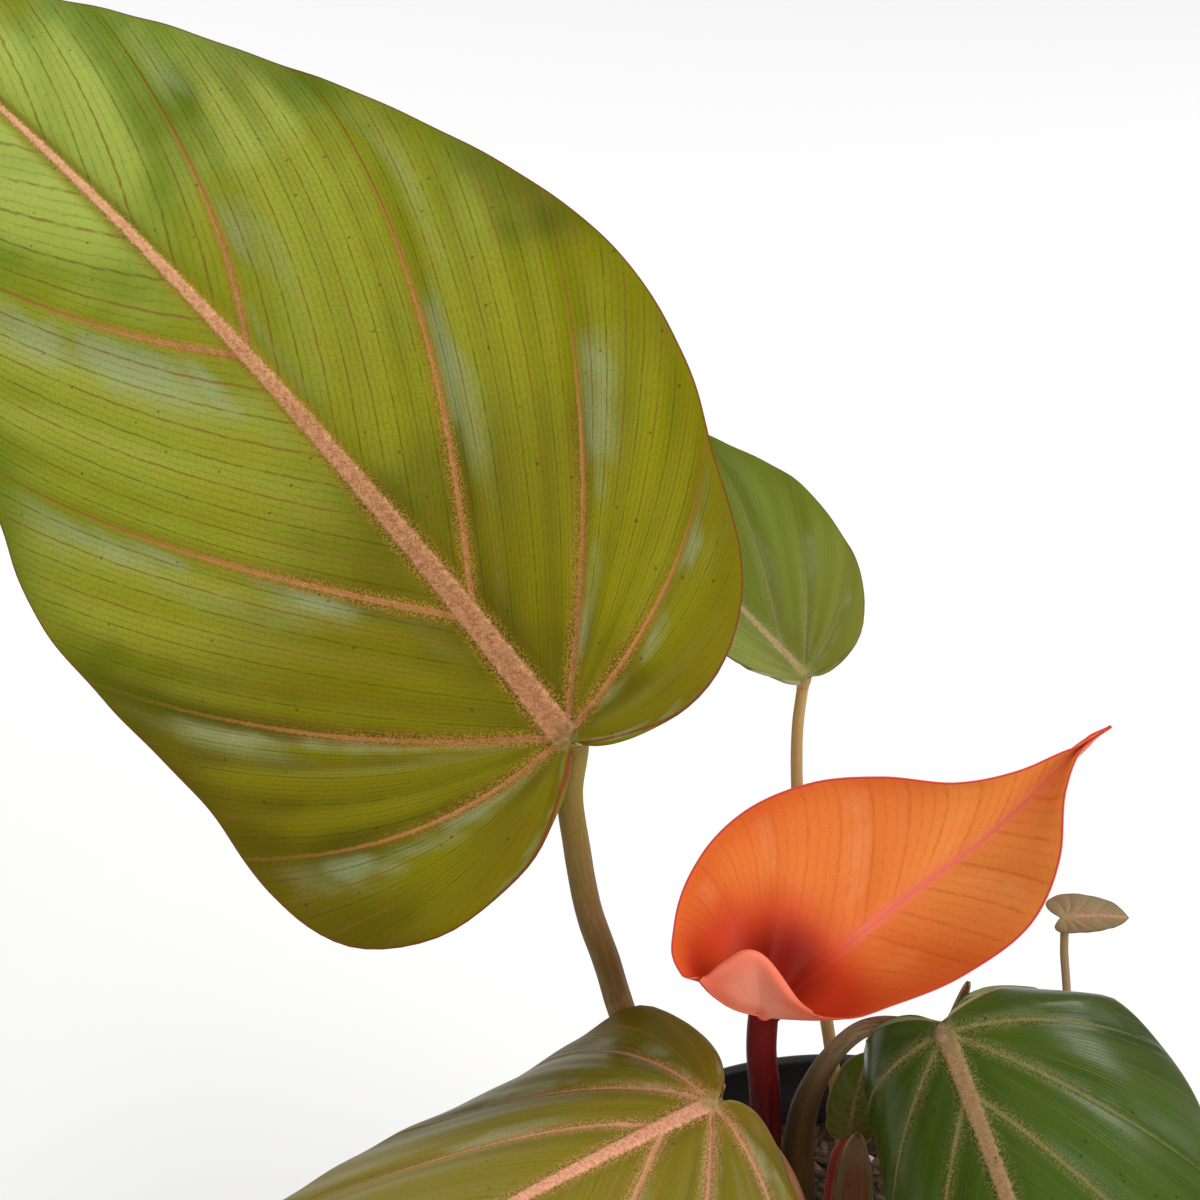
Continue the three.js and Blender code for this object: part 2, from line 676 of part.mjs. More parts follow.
// Sheath sheet from its foot to its pointed tip, wrapped round its long axis. The spare widens its
// edges and lengthens its foot, to cut room for it in what it stands in.
function sheathSheet({ foot, tip, heading, width, wrap }, spare) {
  const start = new THREE.Vector3(...foot);
  const along = new THREE.Vector3(...tip).sub(start);
  const turn = THREE.MathUtils.degToRad(heading);
  const front = new THREE.Vector3(Math.cos(turn), Math.sin(turn), 0);
  const side = new THREE.Vector3().crossVectors(along, front).normalize();
  front.crossVectors(side, along).normalize();
  const fullWrap = THREE.MathUtils.degToRad(wrap);
  const radius = width / fullWrap;
  const grid = [];
  for (let i = 0; i <= sheathRows; i += 1) {
    const u = THREE.MathUtils.lerp(-spare / along.length(), 1, i / sheathRows);
    const share = Math.sqrt(1 - Math.max(u, 0) ** 2.2) * (1 - 0.25 * u);
    const bow = 0.06 * along.length() * Math.sin(Math.PI * u);
    const centre = start.clone().addScaledVector(along, u).addScaledVector(front, -bow);
    grid.push(Array.from({ length: sheathColumns + 1 }, (_, j) => {
      const angle = (fullWrap + (2 * spare) / radius) * share * (j / sheathColumns - 0.5);
      return centre.clone()
        .addScaledVector(side, radius * Math.sin(angle))
        .addScaledVector(front, radius * (1 - Math.cos(angle)));
    }));
  }
  const sheet = new Sheet();
  sheet.addGrid(grid, true);
  return sheet;
}

function sheathGeometry(sheath, spare = 0) {
  const sheet = sheathSheet(sheath, 2 * spare);
  return shellGeometry(sheet.points, sheet.triangles, spare, bladeThickness + spare);
}

function sheathMesh(sheath) {
  const mesh = new THREE.Mesh(sheathGeometry(sheath), finishes.drySheath);
  mesh.name = sheath.name;
  return mesh;
}

function potRadiusAt(height) {
  return THREE.MathUtils.lerp(potBaseDiameter, potTopDiameter - 2 * potRimOverhang, height / potHeight) / 2;
}

function potMesh() {
  const shoulder = potHeight - potRimHeight;
  const rim = potTopDiameter / 2;
  const profile = [
    [0, 0],
    [potRadiusAt(0) - potBaseEdge, 0],
    [potRadiusAt(0), potBaseEdge],
    [potRadiusAt(shoulder), shoulder],
    [rim - potRimEdge, shoulder + potRimEdge],
    [rim, potHeight - potRimEdge],
    [rim - potRimEdge, potHeight],
    [rim - potRimEdge - potWall, potHeight],
    [potRadiusAt(shoulder) - potWall, shoulder],
    [potRadiusAt(2 * potWall) - potWall, 2 * potWall],
    [potRadiusAt(0) - 2 * potWall, potWall],
    [0, potWall],
  ];
  const lathe = new THREE.LatheGeometry(profile.map(([x, y]) => new THREE.Vector2(x, y)), potSides);
  lathe.rotateX(Math.PI / 2);
  let solid = toSolid(lathe);
  for (let k = 0; k < drainHoles; k += 1) {
    const turn = (2 * Math.PI * (k + 0.5)) / drainHoles;
    const hole = new THREE.CylinderGeometry(drainHoleDiameter / 2, drainHoleDiameter / 2, 4 * potWall, 10);
    hole.rotateX(Math.PI / 2);
    const middle = potRadiusAt(0) - drainHoleInset;
    hole.translate(middle * Math.cos(turn), middle * Math.sin(turn), potWall / 2);
    solid = solid.subtract(toSolid(hole));
  }
  const mesh = new THREE.Mesh(toGeometry(solid), finishes.potPlastic);
  mesh.name = 'pot';
  return mesh;
}

function crownSolid(extra) {
  const ball = new THREE.SphereGeometry(1, 20, 12);
  ball.rotateX(Math.PI / 2);
  ball.scale(...crown.radii.map((radius) => radius + extra));
  ball.translate(...crown.centre);
  return toSolid(ball);
}

function crownMesh(rooms) {
  const solid = rooms.reduce((body, room) => body.subtract(room), crownSolid(0));
  const mesh = new THREE.Mesh(toGeometry(largestPiece(solid)), finishes.crown);
  mesh.name = 'crown';
  return mesh;
}

function soilTopAt(x, y) {
  const wave = Math.sin(x / 7 + 1) * Math.cos(y / 6) + 0.6 * Math.sin(x / 3.7 - y / 4.3);
  return soilHeight + soilLump * wave;
}

function soilMesh(rooms) {
  const gap = potWall + clearance;
  const rings = [2 * potWall + clearance, soilHeight].map((z) => ring(potRadiusAt(z) - gap, () => z));
  rings.unshift(ring(potRadiusAt(0) - 3 * potWall, () => potWall + clearance));
  for (const share of [0.85, 0.65, 0.45, 0.25, 0.1]) {
    rings.push(ring((potRadiusAt(soilHeight) - gap) * share, soilTopAt));
  }
  const solid = rooms.reduce((body, room) => body.subtract(room), toSolid(loftGeometry(rings)));
  const mesh = new THREE.Mesh(toGeometry(largestPiece(solid)), finishes.soil);
  mesh.name = 'soil';
  return mesh;
}

function ring(radius, heightAt) {
  return Array.from({ length: potSides }, (_, k) => {
    const turn = (2 * Math.PI * k) / potSides;
    const [x, y] = [radius * Math.cos(turn), radius * Math.sin(turn)];
    return new THREE.Vector3(x, y, heightAt(x, y));
  });
}

const allLeaves = [...leaves, newLeaf];
const rooms = [
  ...allLeaves.map(stalkRoom),
  ...sheaths.map((sheath) => toSolid(sheathGeometry(sheath, clearance))),
];

const plant = new THREE.Group();
plant.add(potMesh());
plant.add(soilMesh([...rooms, crownSolid(clearance)]));
plant.add(crownMesh(rooms));
for (const leaf of allLeaves) plant.add(bladeMesh(leaf), stalkMesh(leaf));
for (const sheath of sheaths) plant.add(sheathMesh(sheath));

export default plant;
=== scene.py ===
# Young philodendron in a black nursery pot: quilted heart leaves, a cupped orange new leaf, dried sheaths.
# Lengths are in millimetres until a mesh is made, then in metres like the frame.
import math

import bmesh
import bpy
import numpy as np
from mathutils import Matrix, Vector


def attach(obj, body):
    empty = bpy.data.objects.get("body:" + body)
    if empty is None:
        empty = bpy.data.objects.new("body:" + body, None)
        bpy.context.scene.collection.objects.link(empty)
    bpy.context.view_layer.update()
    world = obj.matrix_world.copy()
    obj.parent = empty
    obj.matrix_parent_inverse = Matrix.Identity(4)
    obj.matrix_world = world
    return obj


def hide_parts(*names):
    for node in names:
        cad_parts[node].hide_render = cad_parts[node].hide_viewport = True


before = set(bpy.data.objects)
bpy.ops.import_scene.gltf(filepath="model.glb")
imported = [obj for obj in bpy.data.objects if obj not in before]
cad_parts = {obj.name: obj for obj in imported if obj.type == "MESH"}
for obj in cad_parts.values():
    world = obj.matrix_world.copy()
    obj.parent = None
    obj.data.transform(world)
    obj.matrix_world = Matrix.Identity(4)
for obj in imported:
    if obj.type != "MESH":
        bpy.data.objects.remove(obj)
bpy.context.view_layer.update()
mm = 0.001
print("frame loaded with", len(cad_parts), "nodes")


# Curves through listed points

def hermite(start, end, leave, arrive, s):
    return ((2 * s**3 - 3 * s**2 + 1) * start + (s**3 - 2 * s**2 + s) * leave
            + (3 * s**2 - 2 * s**3) * end + (s**3 - s**2) * arrive)


def steady(stations, values, x):  # smooth value that never overshoots its points
    stations, values = np.asarray(stations, float), np.asarray(values, float)
    x = np.clip(x, stations[0], stations[-1])
    width = np.diff(stations)
    slope = np.diff(values) / width
    tangent = np.zeros(len(values))
    tangent[0], tangent[-1] = slope[0], slope[-1]
    for i in range(1, len(values) - 1):
        if slope[i - 1] * slope[i] > 0:
            tangent[i] = 2 * slope[i - 1] * slope[i] / (slope[i - 1] + slope[i])
    i = np.clip(np.searchsorted(stations, x, side="right") - 1, 0, len(width) - 1)
    s = (x - stations[i]) / width[i]
    return hermite(values[i], values[i + 1], tangent[i] * width[i], tangent[i + 1] * width[i], s)


def flowing(stations, points, x):  # smooth point with tangents from both neighbours
    stations, points = np.asarray(stations, float), np.asarray(points, float)
    width = np.diff(stations)[:, None]
    slope = np.diff(points, axis=0) / width
    tangent = np.zeros_like(points)
    tangent[0], tangent[-1] = slope[0], slope[-1]
    tangent[1:-1] = (slope[:-1] * width[1:] + slope[1:] * width[:-1]) / (width[1:] + width[:-1])
    i = np.clip(np.searchsorted(stations, x, side="right") - 1, 0, len(width) - 1)
    s = ((x - stations[i]) / width[i, 0])[..., None]
    return hermite(points[i], points[i + 1], tangent[i] * width[i], tangent[i + 1] * width[i], s)


spanSteps = 60  # points drawn between two listed ones


def curveThrough(points):  # centripetal curve, as dense points
    p = np.asarray(points, float)
    p = np.vstack([2 * p[0] - p[1], p, 2 * p[-1] - p[-2]])
    s = np.linspace(0, 1, spanSteps, endpoint=False)[:, None]
    path = []
    for a, b, c, d in zip(p, p[1:], p[2:], p[3:]):
        before, here, after = (max(math.sqrt(np.linalg.norm(v)), 1e-6) for v in (b - a, c - b, d - c))
        leave = ((b - a) / before - (c - a) / (before + here) + (c - b) / here) * here
        arrive = ((c - b) / here - (d - b) / (here + after) + (d - c) / after) * here
        path.append(hermite(b, c, leave, arrive, s))
    return np.vstack([*path, p[-2]])


def runLength(path):
    return np.concatenate([[0], np.cumsum(np.linalg.norm(np.diff(path, axis=0), axis=1))])


def pointsAt(path, shares):  # points at shares of the path's length
    run = runLength(path)
    run = run / run[-1]
    return np.stack([np.interp(shares, run, path[:, k]) for k in range(path.shape[1])], -1)


def gapTo(points, path):  # distance from each point to the nearest stretch of a path
    flat = points.reshape(-1, points.shape[-1])
    start, step = path[:-1], np.diff(path, axis=0)
    size = np.maximum((step**2).sum(-1), 1e-12)
    out = np.empty(len(flat))
    batch = 4000  # points compared at a time
    for i in range(0, len(flat), batch):
        some = flat[i:i + batch, None] - start
        share = np.clip((some * step).sum(-1) / size, 0, 1)
        out[i:i + batch] = np.sqrt(((some - share[..., None] * step)**2).sum(-1).min(1))
    return out.reshape(points.shape[:-1])


def smooth(low, high, x):
    s = np.clip((x - low) / (high - low), 0, 1)
    return s * s * (3 - 2 * s)


def ruffle(*waves):  # sum of sines given as (amount, phase in radians)
    return sum(amount * np.sin(phase) for amount, phase in waves)


def fullTurn(count):
    return np.linspace(0, 2 * np.pi, count, endpoint=False)


# Meshes

def makeObject(name, points, faces, values=None, shade=True):
    mesh = bpy.data.meshes.new(name)
    once = {}
    for face in faces:  # two faces on the same points are kept as one
        once.setdefault(frozenset(map(int, face)), list(map(int, face)))
    mesh.from_pydata((np.asarray(points) * mm).tolist(), [], list(once.values()))
    mesh.validate()
    for key, data in (values or {}).items():
        data = np.asarray(data, np.float32)
        kind = "FLOAT" if data.ndim == 1 else "FLOAT_VECTOR"
        attribute = mesh.attributes.new(key, kind, "POINT")
        attribute.data.foreach_set("value" if data.ndim == 1 else "vector", data.ravel())
    mesh.polygons.foreach_set("use_smooth", [shade] * len(mesh.polygons))
    mesh.update()
    piece = bpy.data.objects.new(name, mesh)
    bpy.context.scene.collection.objects.link(piece)
    return piece


def gridFaces(rows, columns, first=0, turned=False, wrap=False):
    i, j = np.meshgrid(np.arange(rows - 1), np.arange(columns if wrap else columns - 1), indexing="ij")
    k = (j + 1) % columns
    corners = [i * columns + j, i * columns + k, (i + 1) * columns + k, (i + 1) * columns + j]
    quads = np.stack([c.ravel() + first for c in corners], 1)
    return quads[:, ::-1] if turned else quads


weldSteps = 500  # steps a millimetre


def weld(points, faces, values):  # joins points that fall together and drops the faces that vanish
    key = np.round(points * weldSteps).astype(np.int64)
    _, first, number = np.unique(key, axis=0, return_index=True, return_inverse=True)
    number = number.ravel()
    kept = []
    for face in number[faces]:
        ring = [v for n, v in enumerate(face) if v != face[n - 1]]
        if len(set(ring)) == len(ring) > 2:
            kept.append(ring)
    return points[first], kept, {k: v[first] for k, v in values.items()}


def pointNormals(points, faces):
    normals = np.zeros_like(points)
    quads = np.array([f if len(f) == 4 else [*f, f[0]] for f in faces])
    turn = np.cross(points[quads[:, 2]] - points[quads[:, 0]], points[quads[:, 3]] - points[quads[:, 1]])
    for k in range(4):
        np.add.at(normals, quads[:, k], turn)
    return normals / np.maximum(np.linalg.norm(normals, axis=1), 1e-12)[:, None]


def shell(points, faces, values, raised, sunk):  # closed thin body round a sheet
    normals = pointNormals(points, faces)
    count = len(points)
    top = points + normals * raised[:, None]
    bottom = points - normals * sunk[:, None]
    edges = {}
    for face in faces:
        for a, b in zip(face, [*face[1:], face[0]]):
            if (b, a) in edges:
                del edges[b, a]
            else:
                edges[a, b] = True
    allFaces = [*faces, *([count + v for v in reversed(face)] for face in faces)]
    allFaces += [[b, a, count + a, count + b] for a, b in edges]
    both = {k: np.concatenate([v, v]) for k, v in values.items()}
    both["under"] = np.concatenate([np.zeros(count), np.ones(count)])
    return np.vstack([top, bottom]), allFaces, both


def finishPiece(piece, slot, material, *nodes):
    piece.data.materials.clear()
    piece.data.materials.append(material)
    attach(piece, "root")
    if nodes:
        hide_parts(*nodes)
    return piece


# Node building. Most helpers find their tree through the sockets that they are given.

def feed(node, values):  # links or sets inputs by name or number
    for key, value in values.items():
        socket = node.inputs[key]
        if isinstance(value, bpy.types.NodeSocket):
            node.id_data.links.new(value, socket)
        else:
            socket.default_value = (*value, 1) if socket.type == "RGBA" else value


def addNode(tree, kind, values=None, **settings):
    node = tree.nodes.new(kind)
    for key, value in settings.items():
        setattr(node, key, value)
    feed(node, values or {})
    return node


def startMaterial(name, **sockets):
    material = bpy.data.materials.new(name)
    material.use_nodes = True
    tree = material.node_tree
    shader = tree.nodes["Principled BSDF"]
    feed(shader, {key.replace("_", " "): value for key, value in sockets.items()})
    return material, tree, shader


def calc(operation, *values):
    tree = next(v.id_data for v in values if isinstance(v, bpy.types.NodeSocket))
    return addNode(tree, "ShaderNodeMath", dict(enumerate(values)), operation=operation).outputs[0]


def times(a, b):
    return calc("MULTIPLY", a, b)


def plus(a, b):
    return calc("ADD", a, b)


def minus(a, b):
    return calc("SUBTRACT", a, b)


def ease(value, low, high, start=0.0, end=1.0):  # smooth step from start to end
    ends = {"Value": value, "From Min": low, "From Max": high, "To Min": start, "To Max": end}
    return addNode(value.id_data, "ShaderNodeMapRange", ends, interpolation_type="SMOOTHSTEP").outputs[0]


def tint(amount, under, over):
    colours = {0: amount, 6: under, 7: over}
    return addNode(amount.id_data, "ShaderNodeMix", colours, data_type="RGBA").outputs[2]


def layered(colour, *layers):  # lays each (amount, colour) over the last
    for amount, over in layers:
        colour = tint(amount, colour, over)
    return colour


def readPoint(tree, name, output="Vector"):
    return addNode(tree, "ShaderNodeAttribute", attribute_name=name).outputs[output]


def parts(vector):
    return addNode(vector.id_data, "ShaderNodeSeparateXYZ", {0: vector}).outputs


def joined(x, y, z=0.0):
    return addNode(x.id_data, "ShaderNodeCombineXYZ", {0: x, 1: y, 2: z}).outputs[0]


def speckle(vector, scale, detail=3.0, roughness=0.55):
    return addNode(vector.id_data, "ShaderNodeTexNoise", {"Vector": vector, "Scale": scale, "Detail": detail,
                                                          "Roughness": roughness}).outputs[0]


def cells(vector, scale, **settings):
    return addNode(vector.id_data, "ShaderNodeTexVoronoi", {"Vector": vector, "Scale": scale},
                   **settings).outputs["Distance"]


def placeInMm(tree):
    place = addNode(tree, "ShaderNodeTexCoord").outputs["Object"]
    return addNode(tree, "ShaderNodeVectorMath", {0: place, "Scale": 1 / mm}, operation="SCALE").outputs[0]


def relief(height, depth):  # bump with its depth in millimetres
    return addNode(height.id_data, "ShaderNodeBump", {"Distance": depth * mm, "Strength": 1.0,
                                                      "Height": height}).outputs[0]


# Camera, floor and light

view = {"lens": 85, "sensor": 36, "place": (-44, -316, 509), "tilt": 52, "clipStart": 0.01}

cameraData = bpy.data.cameras.new("camera")
cameraData.lens = view["lens"]
cameraData.sensor_width = view["sensor"]
cameraData.clip_start = view["clipStart"]
camera = bpy.data.objects.new("camera", cameraData)
camera.location = Vector(view["place"]) * mm
camera.rotation_euler = (math.radians(view["tilt"]), 0, 0)
bpy.context.scene.collection.objects.link(camera)
bpy.context.scene.camera = camera

studio = {
    "floorSize": 6000,
    "floorColour": (0.93, 0.93, 0.93),
    "world": (1.0, 1.0, 1.0),
    "worldStrength": 0.52,
    # name: place, aim, size, watts
    "lamps": {
        "rightFront": ((650, -500, 750), (0, 20, 150), 650, 5.6),
        "backLeft": ((-650, 650, 950), (-30, 40, 170), 650, 5.2),
        "front": ((-350, -1000, 650), (0, 0, 150), 900, 2.2),
        "rightBack": ((700, 450, 600), (0, 0, 150), 260, 2.4),
    },
}


def makeStudio():
    size = studio["floorSize"]
    floor = makeObject("floor", [(-size, -size, 0), (size, -size, 0), (size, size, 0), (-size, size, 0)],
                       [(0, 1, 2, 3)], shade=False)
    material, _, _ = startMaterial("pale floor", Roughness=0.9, Base_Color=studio["floorColour"])
    floor.data.materials.append(material)
    world = bpy.data.worlds.new("studio")
    world.use_nodes = True
    feed(world.node_tree.nodes["Background"],
         {"Color": studio["world"], "Strength": studio["worldStrength"]})
    bpy.context.scene.world = world
    for name, (place, aim, width, watts) in studio["lamps"].items():
        data = bpy.data.lights.new(name, "AREA")
        data.shape = "DISK"
        data.size = width * mm
        data.energy = watts
        lamp = bpy.data.objects.new(name, data)
        lamp.location = Vector(place) * mm
        lamp.rotation_euler = (Vector(place) - Vector(aim)).to_track_quat("Z", "Y").to_euler()
        bpy.context.scene.collection.objects.link(lamp)
    bpy.context.scene.view_settings.view_transform = "Standard"


makeStudio()
print("studio set")


# Leaf blades
# A blade is drawn flat, with x to its right and y along its midrib, then bent. Numbered lines run from
# the midrib to the margin: share of the margin's length, angle from the midrib, reach of the bend point.

veinNumbers = [0, 2, 3, 4, 5, 6]
heartStarts = [0, 0, 0, 0, 0.075, 0.38, 1]
heartLines = [(0, 180, 0.5), (0.12, 140, 0.5), (0.28, 88, 0.5), (0.44, 52, 0.49), (0.62, 36, 0.62),
              (0.79, 38, 0.38), (1, 20, 0.4)]

oliveEnd = [(39, 46), (34, 66), (26, 87), (15, 108), (6, 123), (0, 130)]
darkEnd = [(36, 66), (28, 87), (16, 108), (6, 123), (0, 130)]
hearts = {
    "large": [(0, -2), (6, -6), (17, -10), (30, -7), (40, 3), (47, 19), (55, 37), (59, 60), (56, 84),
              (48, 113), (38, 143), (25, 180), (10, 210), (0, 224)],
    "largeLeft": [(0, -2), (5, -7), (17, -13), (36, -12), (49, -3), (55, 14), (55, 36), (58, 64), (58, 88),
                  (51, 114), (40, 145), (26, 180), (10, 210), (0, 224)],
    "olive": [(0, -2), (5, -6.5), (17, -10), (30, -8), (38, 1), (41, 15), (41, 30), *oliveEnd],
    "oliveLeft": [(0, -2), (5, -5.5), (16, -8), (28, -6.5), (36, 2), (39, 15), (40, 30), *oliveEnd],
    "dark": [(0, -2), (6, -5), (17, -8), (30, -6), (40, 3), (44, 16), (44, 30), (42, 46), *darkEnd],
    "darkLeft": [(0, -2), (6, -4), (16, -6), (29, -4.5), (40, 4), (45, 17), (45, 31), (43, 47), *darkEnd],
    "back": [(0, -1), (4, -2), (9, -3), (15, -1), (21, 6), (24, 15), (25, 26), (22, 40), (17, 55), (8, 71),
             (0, 80)],
    "backLeft": [(0, -1), (4, -1), (9, 1), (14, 6), (17, 14), (18, 26), (17, 40), (13, 55), (7, 71),
                 (0, 80)],
    "side": [(0, -1), (1.5, -2.5), (4, -3), (6, -1), (6.5, 2.5), (5.5, 7), (3, 10.5), (0, 12)],
    "sideRight": [(0, -1), (1, -2), (2, -2.5), (3, -1), (3.2, 2.5), (2.8, 7), (1.5, 10.5), (0, 12)],
    "young": [(0, -0.5), (1.5, -1.2), (4, 0), (5.5, 4), (5.5, 8), (3.5, 13), (0, 16)],
}

# fine form that is only drawn here, not in the CAD
middleForm = {"rows": 30, "columns": 56, "ribWidth": (3.2, 0.7), "ribRise": 0.4, "keel": 1.5,
              "ripples": 3, "margin": 0.5, "marginWaves": 5}
tinyForm = {"rows": 10, "columns": 18, "ribWidth": (1.0, 0.3), "ribRise": 0.1, "keel": 0.4,
            "veinWidth": (0.2, 0.1), "ripple": 0.05, "ripples": 1, "margin": 0.1, "marginWaves": 3}

largeLeaf = {
    "name": "large_leaf", "slot": "lime_leaf", "stalkSlot": "tan_stalk",
    "base": (-49.5, 29, 211.5), "heading": 126, "pitch": 17, "roll": 38,
    "length": 224, "halfWidth": 60, "lobe": 20, "bend": 6, "lobeDroop": 8, "sway": -11, "quilt": 2,
    "vee": {"right": (6, 4, 7, 4), "left": (6, 5, 7, 4)},
    "curl": {"right": (-14, -17, -15, -10), "left": (-15, -11, -6, -10)},
    "outline": {"right": hearts["large"], "left": hearts["largeLeft"]},
    "starts": [0, 0, 0, 0, 0.12, 0.43, 1],
    "lines": {
        "right": [(0, 180, 0.5), (0.12, 140, 0.5), (0.25, 84, 0.55), (0.44, 47, 0.49), (0.63, 33, 0.65),
                  (0.81, 36, 0.35), (1, 20, 0.4)],
        "left": [(0, 180, 0.5), (0.12, 140, 0.5), (0.28, 94, 0.5), (0.44, 54, 0.49), (0.62, 37, 0.6),
                 (0.79, 38, 0.38), (1, 20, 0.4)],
    },
    "stalk": [(-49, 27, 202), (-48, 26, 191), (-46, 25, 177), (-43, 25, 165), (-40, 24.5, 152),
              (-29, 18, 121), (-14, 8, 92)],
    "stalkRadii": [2.2, 2.4, 2.6, 3],
    "rows": 36, "columns": 64, "ribWidth": (4.7, 0.8), "ribRise": 0.45, "keel": 2.0,
    "veinWidth": (0.9, 0.3), "ripple": 0.45, "ripples": 3, "margin": 0.7, "marginWaves": 7,
    "hairs": 14000, "hairLength": 0.8,
}

backLeaf = {
    "name": "back_leaf", "slot": "pale_leaf", "stalkSlot": "tan_stalk",
    "base": (-7, 81, 181), "heading": 130, "pitch": 17, "roll": 14,
    "length": 80, "halfWidth": 25, "lobe": 8, "bend": 14, "lobeDroop": 8, "sway": -8, "quilt": 0.6,
    "vee": {"right": (36, 40, 40, 36), "left": (40, 44, 40, 36)},
    "curl": {"right": (-28, -22, -12, -10), "left": (-20, -16, -12, -10)},
    "outline": {"right": hearts["back"], "left": hearts["backLeft"]},
    "stalk": [(-8, 77, 172), (-8, 69, 162), (-6, 57, 145), (-2, 43, 126), (1, 28, 106), (3, 17, 90)],
    "stalkRadii": [1.1, 1.2, 1.3, 1.6],
    "rows": 22, "columns": 40, "ribWidth": (2.0, 0.4), "ribRise": 0.2, "keel": 1.0,
    "veinWidth": (0.4, 0.15), "ripple": 0.15, "ripples": 2, "margin": 0.3, "marginWaves": 5,
}

oliveLeaf = {
    "name": "olive_leaf", "slot": "olive_leaf", "stalkSlot": "tan_stalk",
    "base": (-26, -7, 165), "heading": 217, "pitch": 8, "roll": 1,
    "length": 130, "halfWidth": 40, "lobe": 12, "bend": 20, "lobeDroop": 8, "sway": -2, "quilt": 1.4,
    "vee": {"right": (4, 0, -20, -4), "left": (-45, -4, 0, 0)},
    "curl": {"right": (-28, -48, -12, -10), "left": (-46, -36, -30, -10)},
    "outline": {"right": hearts["olive"], "left": hearts["oliveLeft"]},
    "stalk": [(-21, -7, 159), (-16, -7, 152), (-12, -8, 142), (-8, -8, 122), (-6, -8, 92)],
    "stalkRadii": [1.8, 2, 2.3, 2.8],
    **middleForm, "veinWidth": (0.75, 0.3), "ripple": 0.12, "hairs": 2500, "hairLength": 0.45,
}

darkLeaf = {
    "name": "dark_leaf", "slot": "dark_leaf", "stalkSlot": "tan_stalk",
    "base": (11.5, 0, 174), "heading": 290, "pitch": -26, "roll": 0,
    "length": 130, "halfWidth": 42, "lobe": 12, "bend": 20, "lobeDroop": 8, "sway": 0, "quilt": 0.8,
    "vee": {"right": (-52, -40, -27, -10), "left": (-34, 4, 10, 0)},
    "curl": {"right": (-90, -98, -62, -14), "left": (-56, -46, -40, -10)},
    "outline": {"right": hearts["dark"], "left": hearts["darkLeft"]},
    "stalk": [(6, 8, 167), (0, 13, 161), (-5, 14, 153), (-9, 12, 143), (-10, 9, 130), (-9, 6, 112),
              (-8, 3, 92)],
    "stalkRadii": [1.3, 1.6, 2.8, 3.6, 3.6],
    **middleForm, "veinWidth": (0.6, 0.25), "ripple": 0.03, "hairs": 3500, "hairLength": 0.5,
}

sideLeaf = {
    "name": "side_leaf", "slot": "pale_leaf", "stalkSlot": "tan_stalk", "look": "side_leaf",
    "base": (41.5, 58, 143), "heading": 4, "pitch": 2, "roll": 0,
    "length": 12, "halfWidth": 6.5, "lobe": 3, "bend": 16, "lobeDroop": 8, "sway": 0, "quilt": 0.3,
    "vee": {"right": (-20, -20, -20, -10), "left": (6, 6, 4, 0)},
    "curl": {"right": (-50, -50, -50, -20), "left": (-20, -20, -20, -10)},
    "outline": {"right": hearts["sideRight"], "left": hearts["side"]},
    "stalk": [(41.5, 56, 137), (41, 44, 125), (27, 26, 107), (7, 14, 92)],
    "stalkRadii": [0.8, 0.9, 1.2],
    **tinyForm,
}

youngLeaf = {
    "name": "young_leaf", "slot": "dark_leaf", "stalkSlot": "crimson_stalk", "look": "young_leaf",
    "base": (0, 20, 127), "heading": 78, "pitch": 58, "roll": 0,
    "length": 16, "halfWidth": 6, "lobe": 2, "bend": -10, "lobeDroop": 0, "sway": 14, "quilt": 0.3,
    "vee": {"right": (8, 8, 8, 8), "left": (8, 8, 8, 8)},
    "curl": {"right": (40, 40, 40, 30), "left": (60, 60, 60, 40)},
    "outline": {"right": hearts["young"], "left": hearts["young"]},
    "stalk": [(-2, 20, 122), (-3, 18, 117), (-4, 12, 107), (-3, 8, 92)],
    "stalkRadii": [0.8, 0.9, 1.1, 1.3],
    **tinyForm,
}

